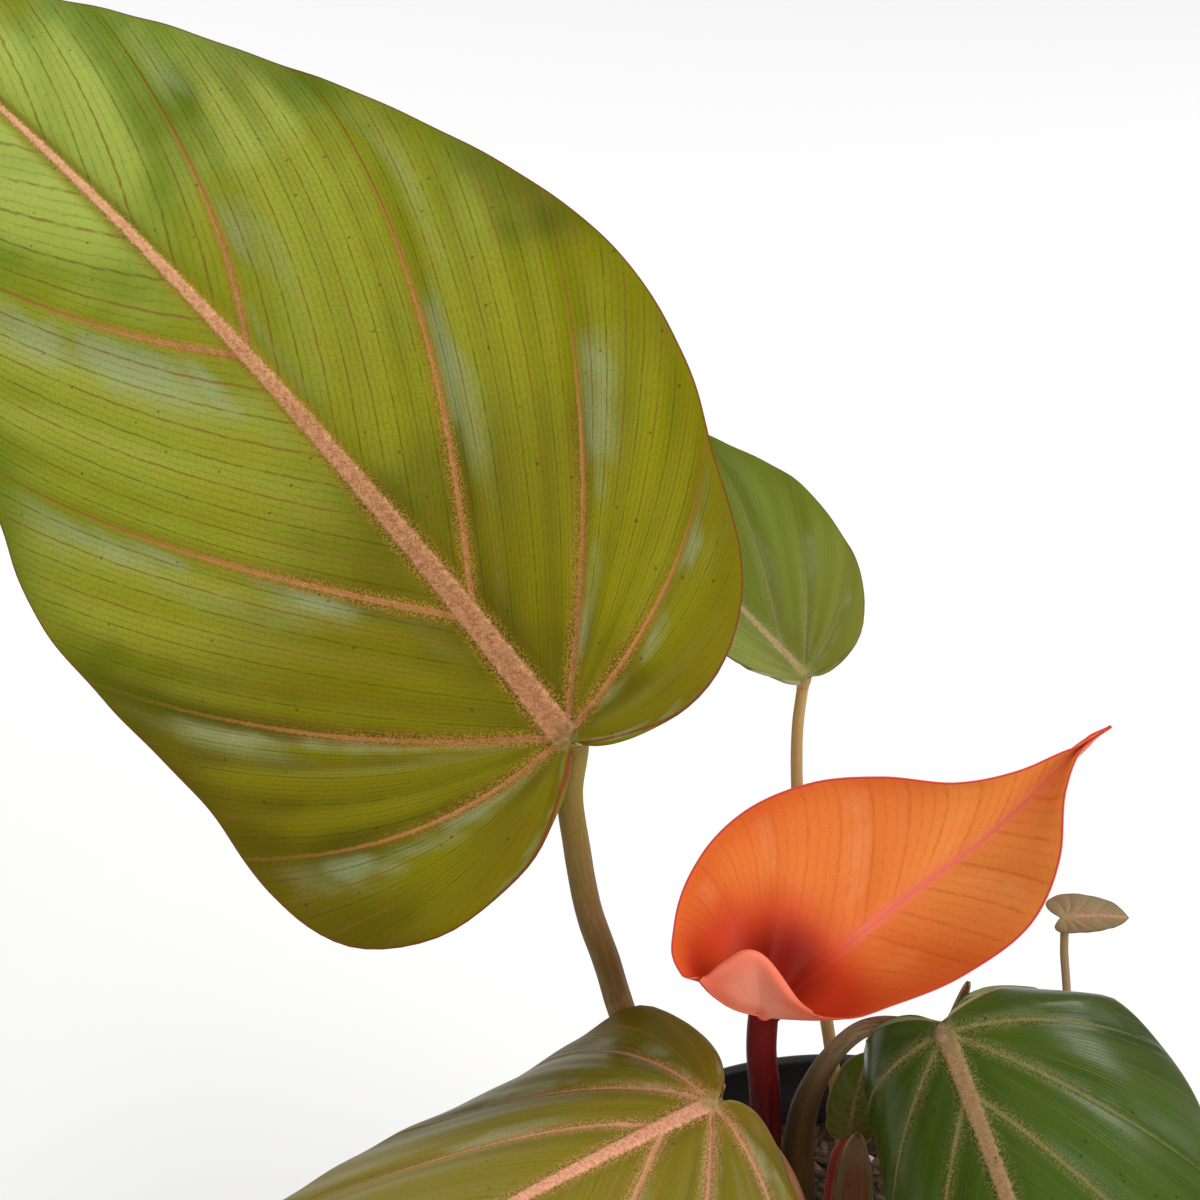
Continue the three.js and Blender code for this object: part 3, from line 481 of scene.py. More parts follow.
# The new leaf is a scoop: rows of [t, bend point, margin point], and the midrib as [t, point]
newLeaf = {
    "name": "new_leaf", "slot": "orange_leaf", "stalkSlot": "crimson_stalk",
    "base": (-16.5, 13, 166.5), "tilt": 52,
    "veins": [0, 0.1, 0.22, 0.34, 0.46, 0.6, 0.76, 0.94, 1],
    "midrib": [
        (0, (-0.5, -1.5, 0)), (0.42, (-0.5, -1.5, 0)), (0.46, (-0.5, -1.5, 0)), (0.52, (4.5, 2.5, -5)),
        (0.58, (14.5, 9.5, -8)),
        (0.7, (26, 18.5, -9)), (0.8, (37, 27, -7)), (0.88, (45, 35, -3)), (0.94, (51, 42, 1)),
        (0.97, (54, 44.5, 1.5)), (1, (57, 46.5, 2)),
    ],
    "right": [
        (0, (-0.5, -1, 1), (-1, -1, 1)),
        (0.05, (-5, -0.5, 2), (-6.2, 0.6, 4)),
        (0.1, (-8.5, 1.5, 5), (-11.5, 5.5, 10)),
        (0.14, (-9, 13, 16.5), (-8.5, 6, 7)),
        (0.19, (-4, 16, 18.5), (-4, 8, 6)),
        (0.235, (-2, 15.5, 17.5), (-0.5, 7.5, 5)),
        (0.28, (2, 9, 15), (2, 4, 5)),
        (0.33, (4.5, 3, 11.5), (5, 1, 7)),
        (0.38, (8, -1.5, 5), (8.5, -0.5, 8)),
        (0.42, (12, -1, 1), (14, -0.5, 9)),
        (0.46, (16, 1, -2), (20, 1.5, 9)),
        (0.58, (27, 6.5, -6), (32.5, 6.5, 7)),
        (0.7, (37.5, 17, -5), (43.5, 15, 6)),
        (0.8, (44, 26, -3), (48, 25.5, 5)),
        (0.88, (48, 34, 0), (49, 36, 4)),
        (0.94, (51, 42, 2), (51.5, 42.5, 4)),
        (0.97, (54, 44.5, 2), (54, 44.5, 2.5)),
        (1, (57, 46.5, 2), (57, 46.5, 2)),
    ],
    "left": [
        (0, (-0.5, -1, 1), (-1, -1, 1)),
        (0.05, (-3, 1, -1), (-6.5, 2.5, 5)),
        (0.1, (-6, 3.5, -1), (-11.5, 6, 9)),
        (0.14, (-8, 4, -2), (-13.5, 6, 10)),
        (0.165, (-9.5, 5.5, -3), (-16, 6.5, 10)),
        (0.2, (-10, 8.5, -5), (-15.5, 10, 9)),
        (0.25, (-10, 13, -8), (-15.5, 14.5, 9)),
        (0.33, (-6, 19, -12), (-12.5, 23.5, 8)),
        (0.42, (1, 25.5, -13), (-4.5, 32, 6)),
        (0.52, (12.5, 29, -12), (7, 37, 4)),
        (0.62, (23, 32.5, -9), (19, 38, 3)),
        (0.72, (34.5, 34, -6), (31, 37, 3)),
        (0.82, (42.5, 36.5, -4), (41.5, 39, 3)),
        (0.9, (48, 40, -1), (48.5, 42, 3)),
        (0.94, (51, 42.5, 2), (52, 43.5, 3)),
        (0.97, (54, 44.5, 2), (53.5, 45, 2.5)),
        (1, (57, 46.5, 2), (57, 46.5, 2)),
    ],
    "stalk": [(-17, 13, 157), (-16, 10, 145), (-16, 4, 128), (-16, -1, 107), (-16, -4, 92)],
    "stalkRadii": [2.6, 2.8, 3.1, 3.3],
    "rows": 24, "columns": 60, "ribWidth": (2.3, 0.6), "ribRise": 0.2, "keel": 0.8,
    # throat: centre of the painted shade deep in the cup
    "opens": 0.46, "lipBlur": 0.045, "lipMeans": 7, "throat": (2.5, 5, -7),
}

blade = {
    "thick": 0.55,       # at the midrib
    "edgeThick": 0.3,
    "frameSteps": 400,
    "crease": 2.0,       # how far the fold at the midrib is rounded
    "pinch": 0.85,       # rows and columns crowd towards veins, midrib and margin
    "junction": 3.0,     # radius of the pale spot over the stalk
    "leftFrom": 8,       # veins of the left half count on from here
    "veinRise": 0.35,    # of the midrib's rise
    "channel": (0.5, 1.4, 0.9),  # depth beside the midrib, of its rise, and its place and width
}


def crowd(start, end, count):
    s = np.linspace(0, 1, count, endpoint=False)
    return start + (end - start) * (s - blade["pinch"] * np.sin(2 * np.pi * s) / (2 * np.pi))


def midribFrame(leaf):  # place, across and up along the bent midrib
    steps = blade["frameSteps"]
    y = np.linspace(-2 * leaf["lobe"], 1.05 * leaf["length"], steps + 1)
    share = y / leaf["length"]
    dip = np.where(y >= 0, leaf["bend"] * np.abs(share)**1.3, leaf["lobeDroop"] * y / leaf["lobe"])
    dip, sway = np.radians(dip)[:, None], np.radians(leaf["sway"] * share)
    level = np.stack([np.sin(sway), np.cos(sway), 0 * sway], 1)
    across = np.stack([np.cos(sway), -np.sin(sway), 0 * sway], 1)
    flatUp = np.array([0, 0, 1.0])
    along = level * np.cos(dip) - flatUp * np.sin(dip)
    up = flatUp * np.cos(dip) + level * np.sin(dip)
    place = np.vstack([np.zeros(3), np.cumsum((along[1:] + along[:-1]) / 2 * (y[1] - y[0]), axis=0)])
    place -= [np.interp(0, y, place[:, k]) for k in range(3)]

    def read(table, at):
        return np.stack([np.interp(at, y, table[:, k]) for k in range(3)], -1)
    return lambda at: (read(place, at), read(across, at), read(up, at))


def sideAngle(leaf, key, side, y):
    stations = (-leaf["lobe"], 0, leaf["length"] / 2, leaf["length"])
    return np.radians(steady(stations, leaf[key][side], y))


def bentPlace(leaf, frameAt, side, x, y, rise):  # flat point to its place on the bent blade
    sign = 1 if side == "right" else -1
    place, across, up = frameAt(y)
    vee, curl = sideAngle(leaf, "vee", side, y), sideAngle(leaf, "curl", side, y)
    otherVee = sideAngle(leaf, "vee", "left" if side == "right" else "right", y)
    curl = np.where(np.abs(curl) < 1e-4, 1e-4, curl)
    radius = leaf["halfWidth"] / curl
    distance = np.abs(x)
    turn = vee + distance / radius
    out = radius * (np.sin(turn) - np.sin(vee))
    lift = radius * (np.cos(vee) - np.cos(turn))
    crease = min(blade["crease"], leaf["halfWidth"] / 12)
    lift = lift + crease * np.sin((vee + otherVee) / 2) * np.exp(-distance / crease)
    return place + across * (sign * out)[..., None] + up * (lift + rise)[..., None]


def lineWidth(widths, share):  # half width at a share of the length
    return (widths[0] + (widths[1] - widths[0]) * np.clip(share, 0, 1)**0.8) / 2


def heartHalf(leaf, side):  # grid of one half with its values
    sign = 1 if side == "right" else -1
    lines = np.array(leaf.get("lines", {}).get(side, heartLines), float)
    starts = leaf.get("starts", heartStarts)
    path = curveThrough([(sign * x, y) for x, y in leaf["outline"][side]])
    numbers = np.concatenate([*(crowd(a, b, round(leaf["rows"] * (b - a)**0.5))
                                for a, b in zip(veinNumbers, veinNumbers[1:])), [6]])
    shares = np.append(crowd(0, 1, leaf["columns"]), 1)

    def flat(number, w):
        share, degrees, reach = (steady(range(7), lines[:, k], number) for k in range(3))
        margin = pointsAt(path, share)
        start = leaf["length"] * steady(range(7), starts, number)
        bend = np.hypot(margin[..., 0], margin[..., 1] - start) * reach
        angle = np.radians(degrees)
        x = 2 * w * (1 - w) * sign * bend * np.sin(angle) + w * w * margin[..., 0]
        y = ((1 - w)**2 * start + 2 * w * (1 - w) * (start + bend * np.cos(angle))
             + w * w * margin[..., 1])
        return x, y

    number, w = np.meshgrid(numbers, shares, indexing="ij")
    x, y = flat(number, w)
    spot = np.stack([x, y], -1)
    along = y / leaf["length"]

    # distances in the flat blade, less half of each line's own width, so that they are negative on it
    rib = np.abs(x) - lineWidth(leaf["ribWidth"], along) * smooth(-1.5, 0.5, y)
    veinGap = np.full(x.shape, 99.0)
    finer = np.linspace(0, 1, 120)
    for vein in veinNumbers[1:-1]:
        line = np.stack(flat(np.full(finer.shape, float(vein)), finer), -1)
        veinGap = np.minimum(veinGap, gapTo(spot, line) - lineWidth(leaf["veinWidth"], w))
    edge = gapTo(spot, path)
    base = np.hypot(x, y)

    # quilting between the veins, finer folds beside it and a waved margin
    step = np.clip(np.searchsorted(veinNumbers, number, side="right") - 1, 0, len(veinNumbers) - 2)
    low, high = np.array(veinNumbers)[step], np.array(veinNumbers)[step + 1]
    share = (number - low) / (high - low)
    swell = np.sin(np.pi * np.clip(share, 0, 1))**0.8 * np.sin(np.pi * w**0.8).clip(0)**0.7
    swell = swell * smooth(-0.3, 1.5, rib)
    fold = np.sin(2 * np.pi * share * leaf["ripples"] + 2.2 * w + 1.3 * number) * swell**0.5
    fold = fold * smooth(0, 0.35, w) * smooth(1, 0.8, w)
    phase = 2 * np.pi * leaf["marginWaves"] * steady(range(7), lines[:, 0], number)
    wave = ruffle((0.6, phase + sign), (0.4, 2.3 * phase + 2 * sign))
    wave = wave * smooth(0.7, 1, w) * smooth(1, 0.9, along)
    rise = leaf["quilt"] * swell + leaf["ripple"] * fold + leaf["margin"] * wave

    points = bentPlace(leaf, midribFrame(leaf), side, x, y, rise)
    values = {
        "lines": np.stack([rib, veinGap, edge], -1),
        "lay": np.stack([number + (0 if side == "right" else blade["leftFrom"]), w, along], -1),
        "form": np.stack([swell + 0.35 * fold, base, 0 * base], -1),
    }
    return points, values, side == "left"


def scoopHalf(leaf, side):
    numbers = np.append(np.concatenate([crowd(a, b, leaf["rows"]) for a, b in
                                        zip(leaf["veins"], leaf["veins"][1:])]), 1)
    shares = np.append(crowd(0, 1, leaf["columns"]), 1)
    middle = flowing([t for t, _ in leaf["midrib"]], [p for _, p in leaf["midrib"]], numbers)
    stations = [row[0] for row in leaf[side]]
    blur = leaf["lipBlur"] * smooth(0.09, 0.16, numbers) * smooth(0.42, 0.33, numbers)

    def rounded(column):  # mean over a short run of rows, so that the lip has no crease
        path = [row[column] for row in leaf[side]]
        steps = np.linspace(-1, 1, leaf["lipMeans"])
        return sum(flowing(stations, path, numbers + k * blur) for k in steps) / len(steps)
    bend, margin = rounded(1), rounded(2)
    w = shares[None, :, None]
    points = (1 - w)**2 * middle[:, None] + 2 * w * (1 - w) * bend[:, None] + w * w * margin[:, None]
    number, w = np.meshgrid(numbers, shares, indexing="ij")
    along = smooth(leaf["opens"], 1, number)
    spine = np.array([p for _, p in leaf["midrib"][1:]])
    rib = gapTo(points, curveThrough(spine)) - lineWidth(leaf["ribWidth"], along)
    edge = gapTo(points, margin)
    base = np.linalg.norm(points, axis=-1)
    throat = np.linalg.norm(points - np.array(leaf["throat"]), axis=-1)
    stationNumbers = np.interp(number, leaf["veins"], np.arange(len(leaf["veins"])))
    swell = np.abs(np.sin(np.pi * stationNumbers))
    values = {
        "lines": np.stack([rib, 99 + 0 * rib, edge], -1),
        "lay": np.stack([stationNumbers + (0 if side == "right" else blade["leftFrom"]), w, along], -1),
        "form": np.stack([swell, base, throat], -1),
    }
    return points, values, side == "left"


def placed(points, leaf):
    if "heading" in leaf:
        turn = (Matrix.Rotation(math.radians(leaf["heading"] - 90), 3, "Z")
                @ Matrix.Rotation(math.radians(leaf["pitch"]), 3, "X")
                @ Matrix.Rotation(math.radians(-leaf["roll"]), 3, "Y"))
    else:
        turn = Matrix.Rotation(math.radians(leaf["tilt"]), 3, "X")
    return np.asarray(points) @ np.array(turn).T + np.array(leaf["base"])


def makeBlade(leaf, material):
    half = heartHalf if "outline" in leaf else scoopHalf
    points, faces, values, count = [], [], {}, 0
    for side in ("right", "left"):
        grid, found, turned = half(leaf, side)
        rows, columns = grid.shape[:2]
        faces.append(gridFaces(rows, columns, count, turned=turned))
        points.append(grid.reshape(-1, 3))
        for key, data in found.items():
            values.setdefault(key, []).append(data.reshape(rows * columns, -1))
        count += rows * columns
    values = {k: np.vstack(v) for k, v in values.items()}
    points, faces, values = weld(np.vstack(points), np.vstack(faces), values)
    rib, vein, edge = values["lines"].T
    along = values["lay"][:, 2]
    if "outline" in leaf:
        veinRaise = np.exp(-(np.maximum(vein, 0) / 0.5)**2) * smooth(0.5, 3, rib)
        depth, middle, width = blade["channel"]
        raised = leaf["ribRise"] * smooth(0.6, -0.6, rib) + blade["veinRise"] * leaf["ribRise"] * veinRaise
        raised = raised - depth * leaf["ribRise"] * np.exp(-((rib - middle) / width)**2)
        keel = leaf["keel"] * smooth(0.2, -0.9, rib) * (1 - 0.7 * along.clip(0))
        keel = keel + 0.4 * leaf["ribRise"] * veinRaise
    else:
        raised = leaf["ribRise"] * smooth(0.6, -0.8, rib)
        keel = leaf["keel"] * smooth(0.4, -1.0, rib)
    raised = raised * smooth(0, 2, edge)
    thick = blade["edgeThick"] + (blade["thick"] - blade["edgeThick"]) * smooth(0, 3, edge)
    fuzz = smooth(0.5, -0.6, rib) * smooth(0.75, 0.05, along)
    fuzz = np.maximum(fuzz, 0.5 * smooth(0.4, -0.1, vein) * smooth(0.5, 0.05, values["lay"][:, 1]))
    points, faces, values = shell(points, faces, values, raised, thick + keel * smooth(0, 2, edge))
    values["fuzz"] = np.concatenate([fuzz, 0 * fuzz])
    piece = makeObject(leaf["name"] + "_surface", placed(points, leaf), faces, values)
    finishPiece(piece, leaf["slot"], material, leaf["name"] + "_blade")
    print("blade", leaf["name"], len(piece.data.polygons), "faces")
    return piece


# Leaf finishes

leafLooks = {  # valley and ridge are pairs: near the stalk, near the tip; the valley is deeper as painted shade, the ridge paler as painted sheen, and the pale band colour beside the veins is painted sheen
    "lime_leaf": {
        "valley": ((0.085, 0.07, 0.001), (0.125, 0.205, 0.002)),
        "ridge": ((0.20, 0.175, 0.002), (0.37, 0.455, 0.07)),
        "patch": (0.28, 0.265, 0.001), "patchAmount": 0.55, "warm": (0.17, 0.115, 0.002), "warmAmount": 0.5,
        "rib": (0.84, 0.45, 0.25), "vein": (0.56, 0.24, 0.085), "veinEnd": (0.29, 0.13, 0.022),
        "fringe": (0.42, 0.24, 0.03), "paintedSheen": (0.31, 0.36, 0.18), "paintedSheenAmount": 0.6,
        "fine": (0.07, 0.055, 0.003), "fineAmount": 0.5, "finePitch": 27,
        "edge": (0.18, 0.05, 0.012), "under": (0.40, 0.40, 0.13), "spot": (0.36, 0.32, 0.09),
        "roughness": 0.42, "specular": 0.06, "relief": 0.1, "speck": 0.5,
    },
    "pale_leaf": {
        "valley": ((0.16, 0.205, 0.014), (0.13, 0.175, 0.018)),
        "ridge": ((0.215, 0.27, 0.034), (0.19, 0.26, 0.05)),
        "patch": (0.25, 0.29, 0.06), "patchAmount": 0.4, "warm": (0.19, 0.18, 0.02), "warmAmount": 0.5,
        "rib": (0.50, 0.34, 0.19), "vein": (0.27, 0.27, 0.09), "veinEnd": (0.19, 0.23, 0.05),
        "fringe": (0.27, 0.27, 0.09), "paintedSheen": (0.28, 0.33, 0.16), "paintedSheenAmount": 0.5,
        "fine": (0.10, 0.13, 0.02), "fineAmount": 0.15, "finePitch": 14,
        "edge": (0.17, 0.15, 0.04), "under": (0.38, 0.36, 0.18), "spot": (0.3, 0.3, 0.1),
        "roughness": 0.5, "specular": 0.12, "relief": 0.04, "speck": 0.1,
    },
    "side_leaf": {
        "valley": ((0.22, 0.155, 0.075), (0.21, 0.155, 0.075)),
        "ridge": ((0.26, 0.185, 0.095), (0.25, 0.185, 0.095)),
        "patch": (0.29, 0.2, 0.11), "patchAmount": 0.4, "warm": (0.25, 0.14, 0.065), "warmAmount": 0.5,
        "rib": (0.52, 0.25, 0.16), "vein": (0.38, 0.22, 0.12), "veinEnd": (0.27, 0.18, 0.09),
        "fringe": (0.38, 0.22, 0.12), "paintedSheen": (0.31, 0.25, 0.15), "paintedSheenAmount": 0.3,
        "fine": (0.18, 0.125, 0.055), "fineAmount": 0.1, "finePitch": 8,
        "edge": (0.2, 0.12, 0.06), "under": (0.32, 0.25, 0.14), "spot": (0.28, 0.22, 0.11),
        "roughness": 0.5, "specular": 0.08, "relief": 0.03, "speck": 0.0,
    },
    "olive_leaf": {
        "valley": ((0.09, 0.072, 0.002), (0.115, 0.10, 0.004)),
        "ridge": ((0.165, 0.135, 0.006), (0.21, 0.19, 0.03)),
        "patch": (0.25, 0.185, 0.015), "patchAmount": 0.4, "warm": (0.18, 0.10, 0.008), "warmAmount": 0.6,
        "rib": (0.78, 0.37, 0.24), "vein": (0.55, 0.26, 0.15), "veinEnd": (0.33, 0.18, 0.06),
        "fringe": (0.45, 0.24, 0.08), "paintedSheen": (0.29, 0.30, 0.17), "paintedSheenAmount": 0.6,
        "fine": (0.08, 0.055, 0.004), "fineAmount": 0.35, "finePitch": 22,
        "edge": (0.18, 0.04, 0.015), "under": (0.32, 0.25, 0.10), "spot": (0.30, 0.24, 0.07),
        "roughness": 0.34, "specular": 0.07, "relief": 0.06, "speck": 0.4,
    },
    "dark_leaf": {
        "valley": ((0.026, 0.044, 0.002), (0.024, 0.07, 0.003)),
        "ridge": ((0.048, 0.08, 0.005), (0.042, 0.112, 0.008)),
        "patch": (0.07, 0.11, 0.015), "patchAmount": 0.4, "warm": (0.045, 0.055, 0.005), "warmAmount": 0.6,
        "rib": (0.33, 0.20, 0.105), "vein": (0.18, 0.16, 0.05), "veinEnd": (0.09, 0.12, 0.02),
        "fringe": (0.16, 0.14, 0.04), "paintedSheen": (0.12, 0.17, 0.10), "paintedSheenAmount": 0.4,
        "fine": (0.018, 0.036, 0.003), "fineAmount": 0.35, "finePitch": 22,
        "edge": (0.28, 0.19, 0.10), "under": (0.18, 0.2, 0.07), "spot": (0.16, 0.15, 0.045),
        "roughness": 0.24, "specular": 0.09, "relief": 0.03, "speck": 0.6,
    },
    "young_leaf": {
        "valley": ((0.085, 0.10, 0.008), (0.075, 0.11, 0.008)),
        "ridge": ((0.13, 0.16, 0.015), (0.12, 0.17, 0.018)),
        "patch": (0.17, 0.18, 0.03), "patchAmount": 0.4, "warm": (0.12, 0.09, 0.01), "warmAmount": 0.6,
        "rib": (0.40, 0.26, 0.12), "vein": (0.22, 0.2, 0.06), "veinEnd": (0.15, 0.17, 0.03),
        "fringe": (0.22, 0.2, 0.06), "paintedSheen": (0.18, 0.23, 0.12), "paintedSheenAmount": 0.3,
        "fine": (0.06, 0.08, 0.005), "fineAmount": 0.2, "finePitch": 9,
        "edge": (0.24, 0.12, 0.05), "under": (0.2, 0.22, 0.07), "spot": (0.2, 0.18, 0.05),
        "roughness": 0.35, "specular": 0.07, "relief": 0.03, "speck": 0.3,
    },
    "orange_leaf": {
        "valley": ((0.72, 0.175, 0.03), (0.78, 0.29, 0.055)),
        "ridge": ((0.80, 0.215, 0.042), (0.88, 0.35, 0.082)),
        "patch": (0.84, 0.235, 0.052), "patchAmount": 0.5, "warm": (0.76, 0.115, 0.024), "warmAmount": 0.7,
        "rib": (0.82, 0.19, 0.12), "vein": (0.82, 0.19, 0.12), "veinEnd": (0.72, 0.19, 0.05),
        "fringe": (0.80, 0.20, 0.09), "paintedSheen": (0.88, 0.40, 0.17), "paintedSheenAmount": 0.25,
        "fine": (0.42, 0.10, 0.014), "fineAmount": 0.34, "finePitch": 9,
        "edge": (0.60, 0.05, 0.055), "under": (0.92, 0.31, 0.20), "spot": (0.5, 0.1, 0.05),
        "roughness": 0.45, "specular": 0.06, "relief": 0.025, "speck": 0.0,
        # throat: the leaf's own deep red, darkened further as painted shade of the cup's recess
        "mouth": (0.60, 0.06, 0.018), "throat": (0.17, 0.003, 0.002),
        "lip": (0.82, 0.14, 0.075), "lipEdge": (0.68, 0.12, 0.06), "lipVein": (0.76, 0.18, 0.13),
    },
}


speckColour = (0.035, 0.02, 0.008)


def leafMaterial(slot, look):
    material, tree, shader = startMaterial(slot.replace("_", " "), Specular_IOR_Level=look["specular"])
    rib, vein, edge = parts(readPoint(tree, "lines"))
    number, across, along = parts(readPoint(tree, "lay"))
    swell, base, throat = parts(readPoint(tree, "form"))
    under = readPoint(tree, "under", "Fac")
    place = placeInMm(tree)
    grain = speckle(place, 1.6, 2)
    blotch = speckle(place, 0.045, 2, 0.6)
    cloud = speckle(place, 0.018, 1)

    # leaf colour: deeper in the valleys as painted shade, paler on the swells as painted sheen, warmer near
    # the margin
    onSwell = ease(plus(swell, times(blotch, 0.9)), 0.35, 1.3)
    far = ease(plus(along, times(minus(cloud, 0.5), 0.6)), 0.02, 0.75)
    tissueAndShading = tint(onSwell, tint(far, *look["valley"]), tint(far, *look["ridge"]))
    nearEdge = plus(ease(edge, 0, 12, 0.5, 0), ease(blotch, 0.3, 0.8, 0, 0.5))
    nearEdge = times(nearEdge, ease(along, 0.6, 0.0, 0.15, 1))

    # painted sheen: a pale band along one flank of each vein, broken along its length
    between = calc("FRACT", number)
    flank = times(ease(between, 0.6, 0.85), ease(between, 1.0, 0.9))
    drawn = joined(times(number, 1.4), times(across, 2.4))
    paintedSheen = times(flank, ease(speckle(drawn, 1.7, 2), 0.42, 0.64))
    paintedSheen = times(paintedSheen, times(ease(across, 0.03, 0.2), ease(across, 1, 0.7)))

    # close parallel veins, some of them stronger, with faint cross lines between them
    drift = speckle(joined(number, times(across, 3)), 6, 1)
    phase = plus(times(number, look["finePitch"]), times(drift, 0.35))

    def combed(value, width):  # 1 on whole numbers of value
        return ease(calc("PINGPONG", value, 0.5), width, 0.02, 0, 1)
    fine = calc("MAXIMUM", times(combed(phase, 0.15), 0.5), combed(calc("DIVIDE", phase, 3), 0.06))
    broken = ease(speckle(place, 0.35, 1), 0.25, 0.6, 0.3, 1)
    broken = times(broken, ease(edge, 0, 3, 0.3, 1))
    fine = times(fine, broken)
    mesh = cells(joined(phase, times(across, 80)), 1.0, feature="DISTANCE_TO_EDGE", voronoi_dimensions="2D")
    lesser = times(combed(calc("DIVIDE", phase, 6), 0.035), broken)

    # main veins and midrib with granular edges and a dotted fringe
    ragged = times(minus(grain, 0.5), 0.7)
    onVein = times(ease(plus(vein, ragged), 0.22, -0.1, 0, 1), ease(across, 0.55, 1.0, 1, 0.3))
    halo = times(ease(vein, 1.6, 0, 0, 0.3), ease(across, 0.9, 0.2, 0, 1))
    dots = ease(speckle(place, 3.2, 1), 0.48, 0.58)
    fringe = times(dots, ease(calc("MINIMUM", rib, vein), 2.2, 0.1, 0, 0.95))
    fringe = times(fringe, ease(across, 0.75, 0.2))
    onRib = ease(plus(rib, times(ragged, 1.6)), 0.2, -0.35)
    onLine = calc("MAXIMUM", onRib, onVein)

    layers = [
        (ease(cloud, 0.46, 0.62, 0, look["patchAmount"]), look["patch"]),
        (ease(nearEdge, 0.1, 0.9, 0, look["warmAmount"]), look["warm"]),
        # painted sheen band beside the veins
        (times(paintedSheen, look["paintedSheenAmount"]), look["paintedSheen"]),
        (times(ease(mesh, 0.16, 0.02, 0, 1), 0.18), look["fine"]),
        (times(fine, look["fineAmount"]), look["fine"]),
        (times(lesser, ease(along, 0.9, 0.3, 0.2, 0.5)), look["veinEnd"]),
        (halo, look["veinEnd"]),
        (fringe, look["fringe"]),
        (onVein, tint(ease(across, 0.2, 0.9), look["vein"], look["veinEnd"])),
        (onRib, tint(ease(grain, 0.35, 0.8, 0, 0.7), look["rib"], look["vein"])),
        (ease(plus(edge, times(ragged, 0.4)), 0.4, 0.1), look["edge"]),
    ]
    if look["speck"]:
        layers.append((ease(cells(place, 0.22), 0.09, 0.05, 0, look["speck"]), speckColour))
    pale = tuple(0.75 * c for c in look["under"])
    below = [(times(fine, 0.15), pale), (onLine, tuple(0.8 * c for c in look["rib"]))]
    if "throat" in look:
        # redder towards the base, then near black in the throat of the cup: the leaf's own deep red,
        # darkened further as painted shade of the recess
        uneven = times(minus(blotch, 0.5), 6)
        layers += [(ease(plus(base, uneven), 24, 13), look["mouth"]),
                   (ease(plus(throat, uneven), 11.5, 3, 0, 0.85), look["throat"])]
        below += [(ease(across, 0.2, 0.6, 0, 0.6), look["lip"]),
                  (ease(edge, 2.6, 0.3, 0, 0.6), look["lipEdge"]), (times(fine, 0.3), look["lipVein"])]
    else:
        layers.append((ease(base, blade["junction"], 1.0, 0, 0.7), look["spot"]))
    underside = layered(tint(ease(blotch, 0.35, 0.65), look["under"], pale), *below)
    rough = plus(look["roughness"], times(minus(blotch, 0.5), 0.15))
    rough = minus(plus(rough, times(onLine, 0.25)), times(paintedSheen, 0.1))
    height = minus(times(grain, 0.35), times(fine, 0.6))
    height = plus(height, times(times(onRib, grain), 1.2))
    feed(shader, {"Base Color": tint(ease(under, 0.3, 0.7), layered(tissueAndShading, *layers), underside),
                  "Roughness": rough, "Normal": relief(height, look["relief"])})
    return material


allLeaves = [largeLeaf, backLeaf, oliveLeaf, darkLeaf, sideLeaf, youngLeaf, newLeaf]
leafMaterials = {name: leafMaterial(name, look) for name, look in leafLooks.items()}
blades = {leaf["name"]: makeBlade(leaf, leafMaterials[leaf.get("look", leaf["slot"])]) for leaf in allLeaves}


# Leaf stalks

stalkForm = {"depth": 84, "sides": 28, "rings": 110, "flare": 1.3, "flareLength": 5, "groove": 0.10,
             "starts": (-0.2, -4)}  # heights under the blade


def sweep(path, radii, sides, rings, profile=None):  # rings of points along a path, with run and turn
    shares = np.linspace(0, 1, rings)
    centres = pointsAt(path, shares)
    tangents = np.gradient(centres, axis=0)
    tangents /= np.linalg.norm(tangents, axis=1)[:, None]
    normal = np.cross(tangents[0], (0, 1, 0))
    rows = []
    turn = fullTurn(sides)
    for centre, tangent, radius, share in zip(centres, tangents, radii(shares), shares):
        normal = normal - tangent * (normal @ tangent)
        normal /= np.linalg.norm(normal)
        side = np.cross(tangent, normal)
        r = radius * (profile(turn, share) if profile else 1)
        rows.append(centre + np.outer(r * np.cos(turn), normal) + np.outer(r * np.sin(turn), side))
    run = shares * runLength(path)[-1]
    values = {"run": np.stack([np.repeat(run, sides), np.tile(turn, rings), np.repeat(shares, sides)], -1)}
    return np.vstack(rows), values


def closedTube(points, sides):
    rings = len(points) // sides
    faces = [list(f) for f in gridFaces(rings, sides, wrap=True)]
    faces.append(list(range(sides))[::-1])
    faces.append([(rings - 1) * sides + k for k in range(sides)])
    return faces


def stalkPath(leaf):
    top = placed([(0, 0, z) for z in stalkForm["starts"]], leaf)
    foot = leaf["stalk"][-1]
    return curveThrough([*top, *leaf["stalk"], (foot[0], foot[1], stalkForm["depth"])])


def makeStalk(leaf, material):
    path = stalkPath(leaf)
    length = runLength(path)[-1]
    stations = np.linspace(0, 1, len(leaf["stalkRadii"]))

    def radii(shares):
        flare = 1 + (stalkForm["flare"] - 1) * smooth(stalkForm["flareLength"], 0.5, shares * length)
        knots = 1 + 0.006 * np.sin(shares * length / 3.1) + 0.004 * np.sin(shares * length / 1.3 + 1)
        return steady(stations, leaf["stalkRadii"], shares) * flare * knots

    def profile(turn, share):  # shallow groove along one side and faint ribs
        groove = 1 - stalkForm["groove"] * np.exp(-((turn - np.pi) / 0.5)**2) * smooth(1, 0.7, share)
        return groove + 0.012 * np.cos(9 * turn + 4 * share)
    points, values = sweep(path, radii, stalkForm["sides"], stalkForm["rings"], profile)
    piece = makeObject(leaf["name"] + "_petiole", points, closedTube(points, stalkForm["sides"]), values)
    finishPiece(piece, leaf["stalkSlot"], material, leaf["name"] + "_stalk")


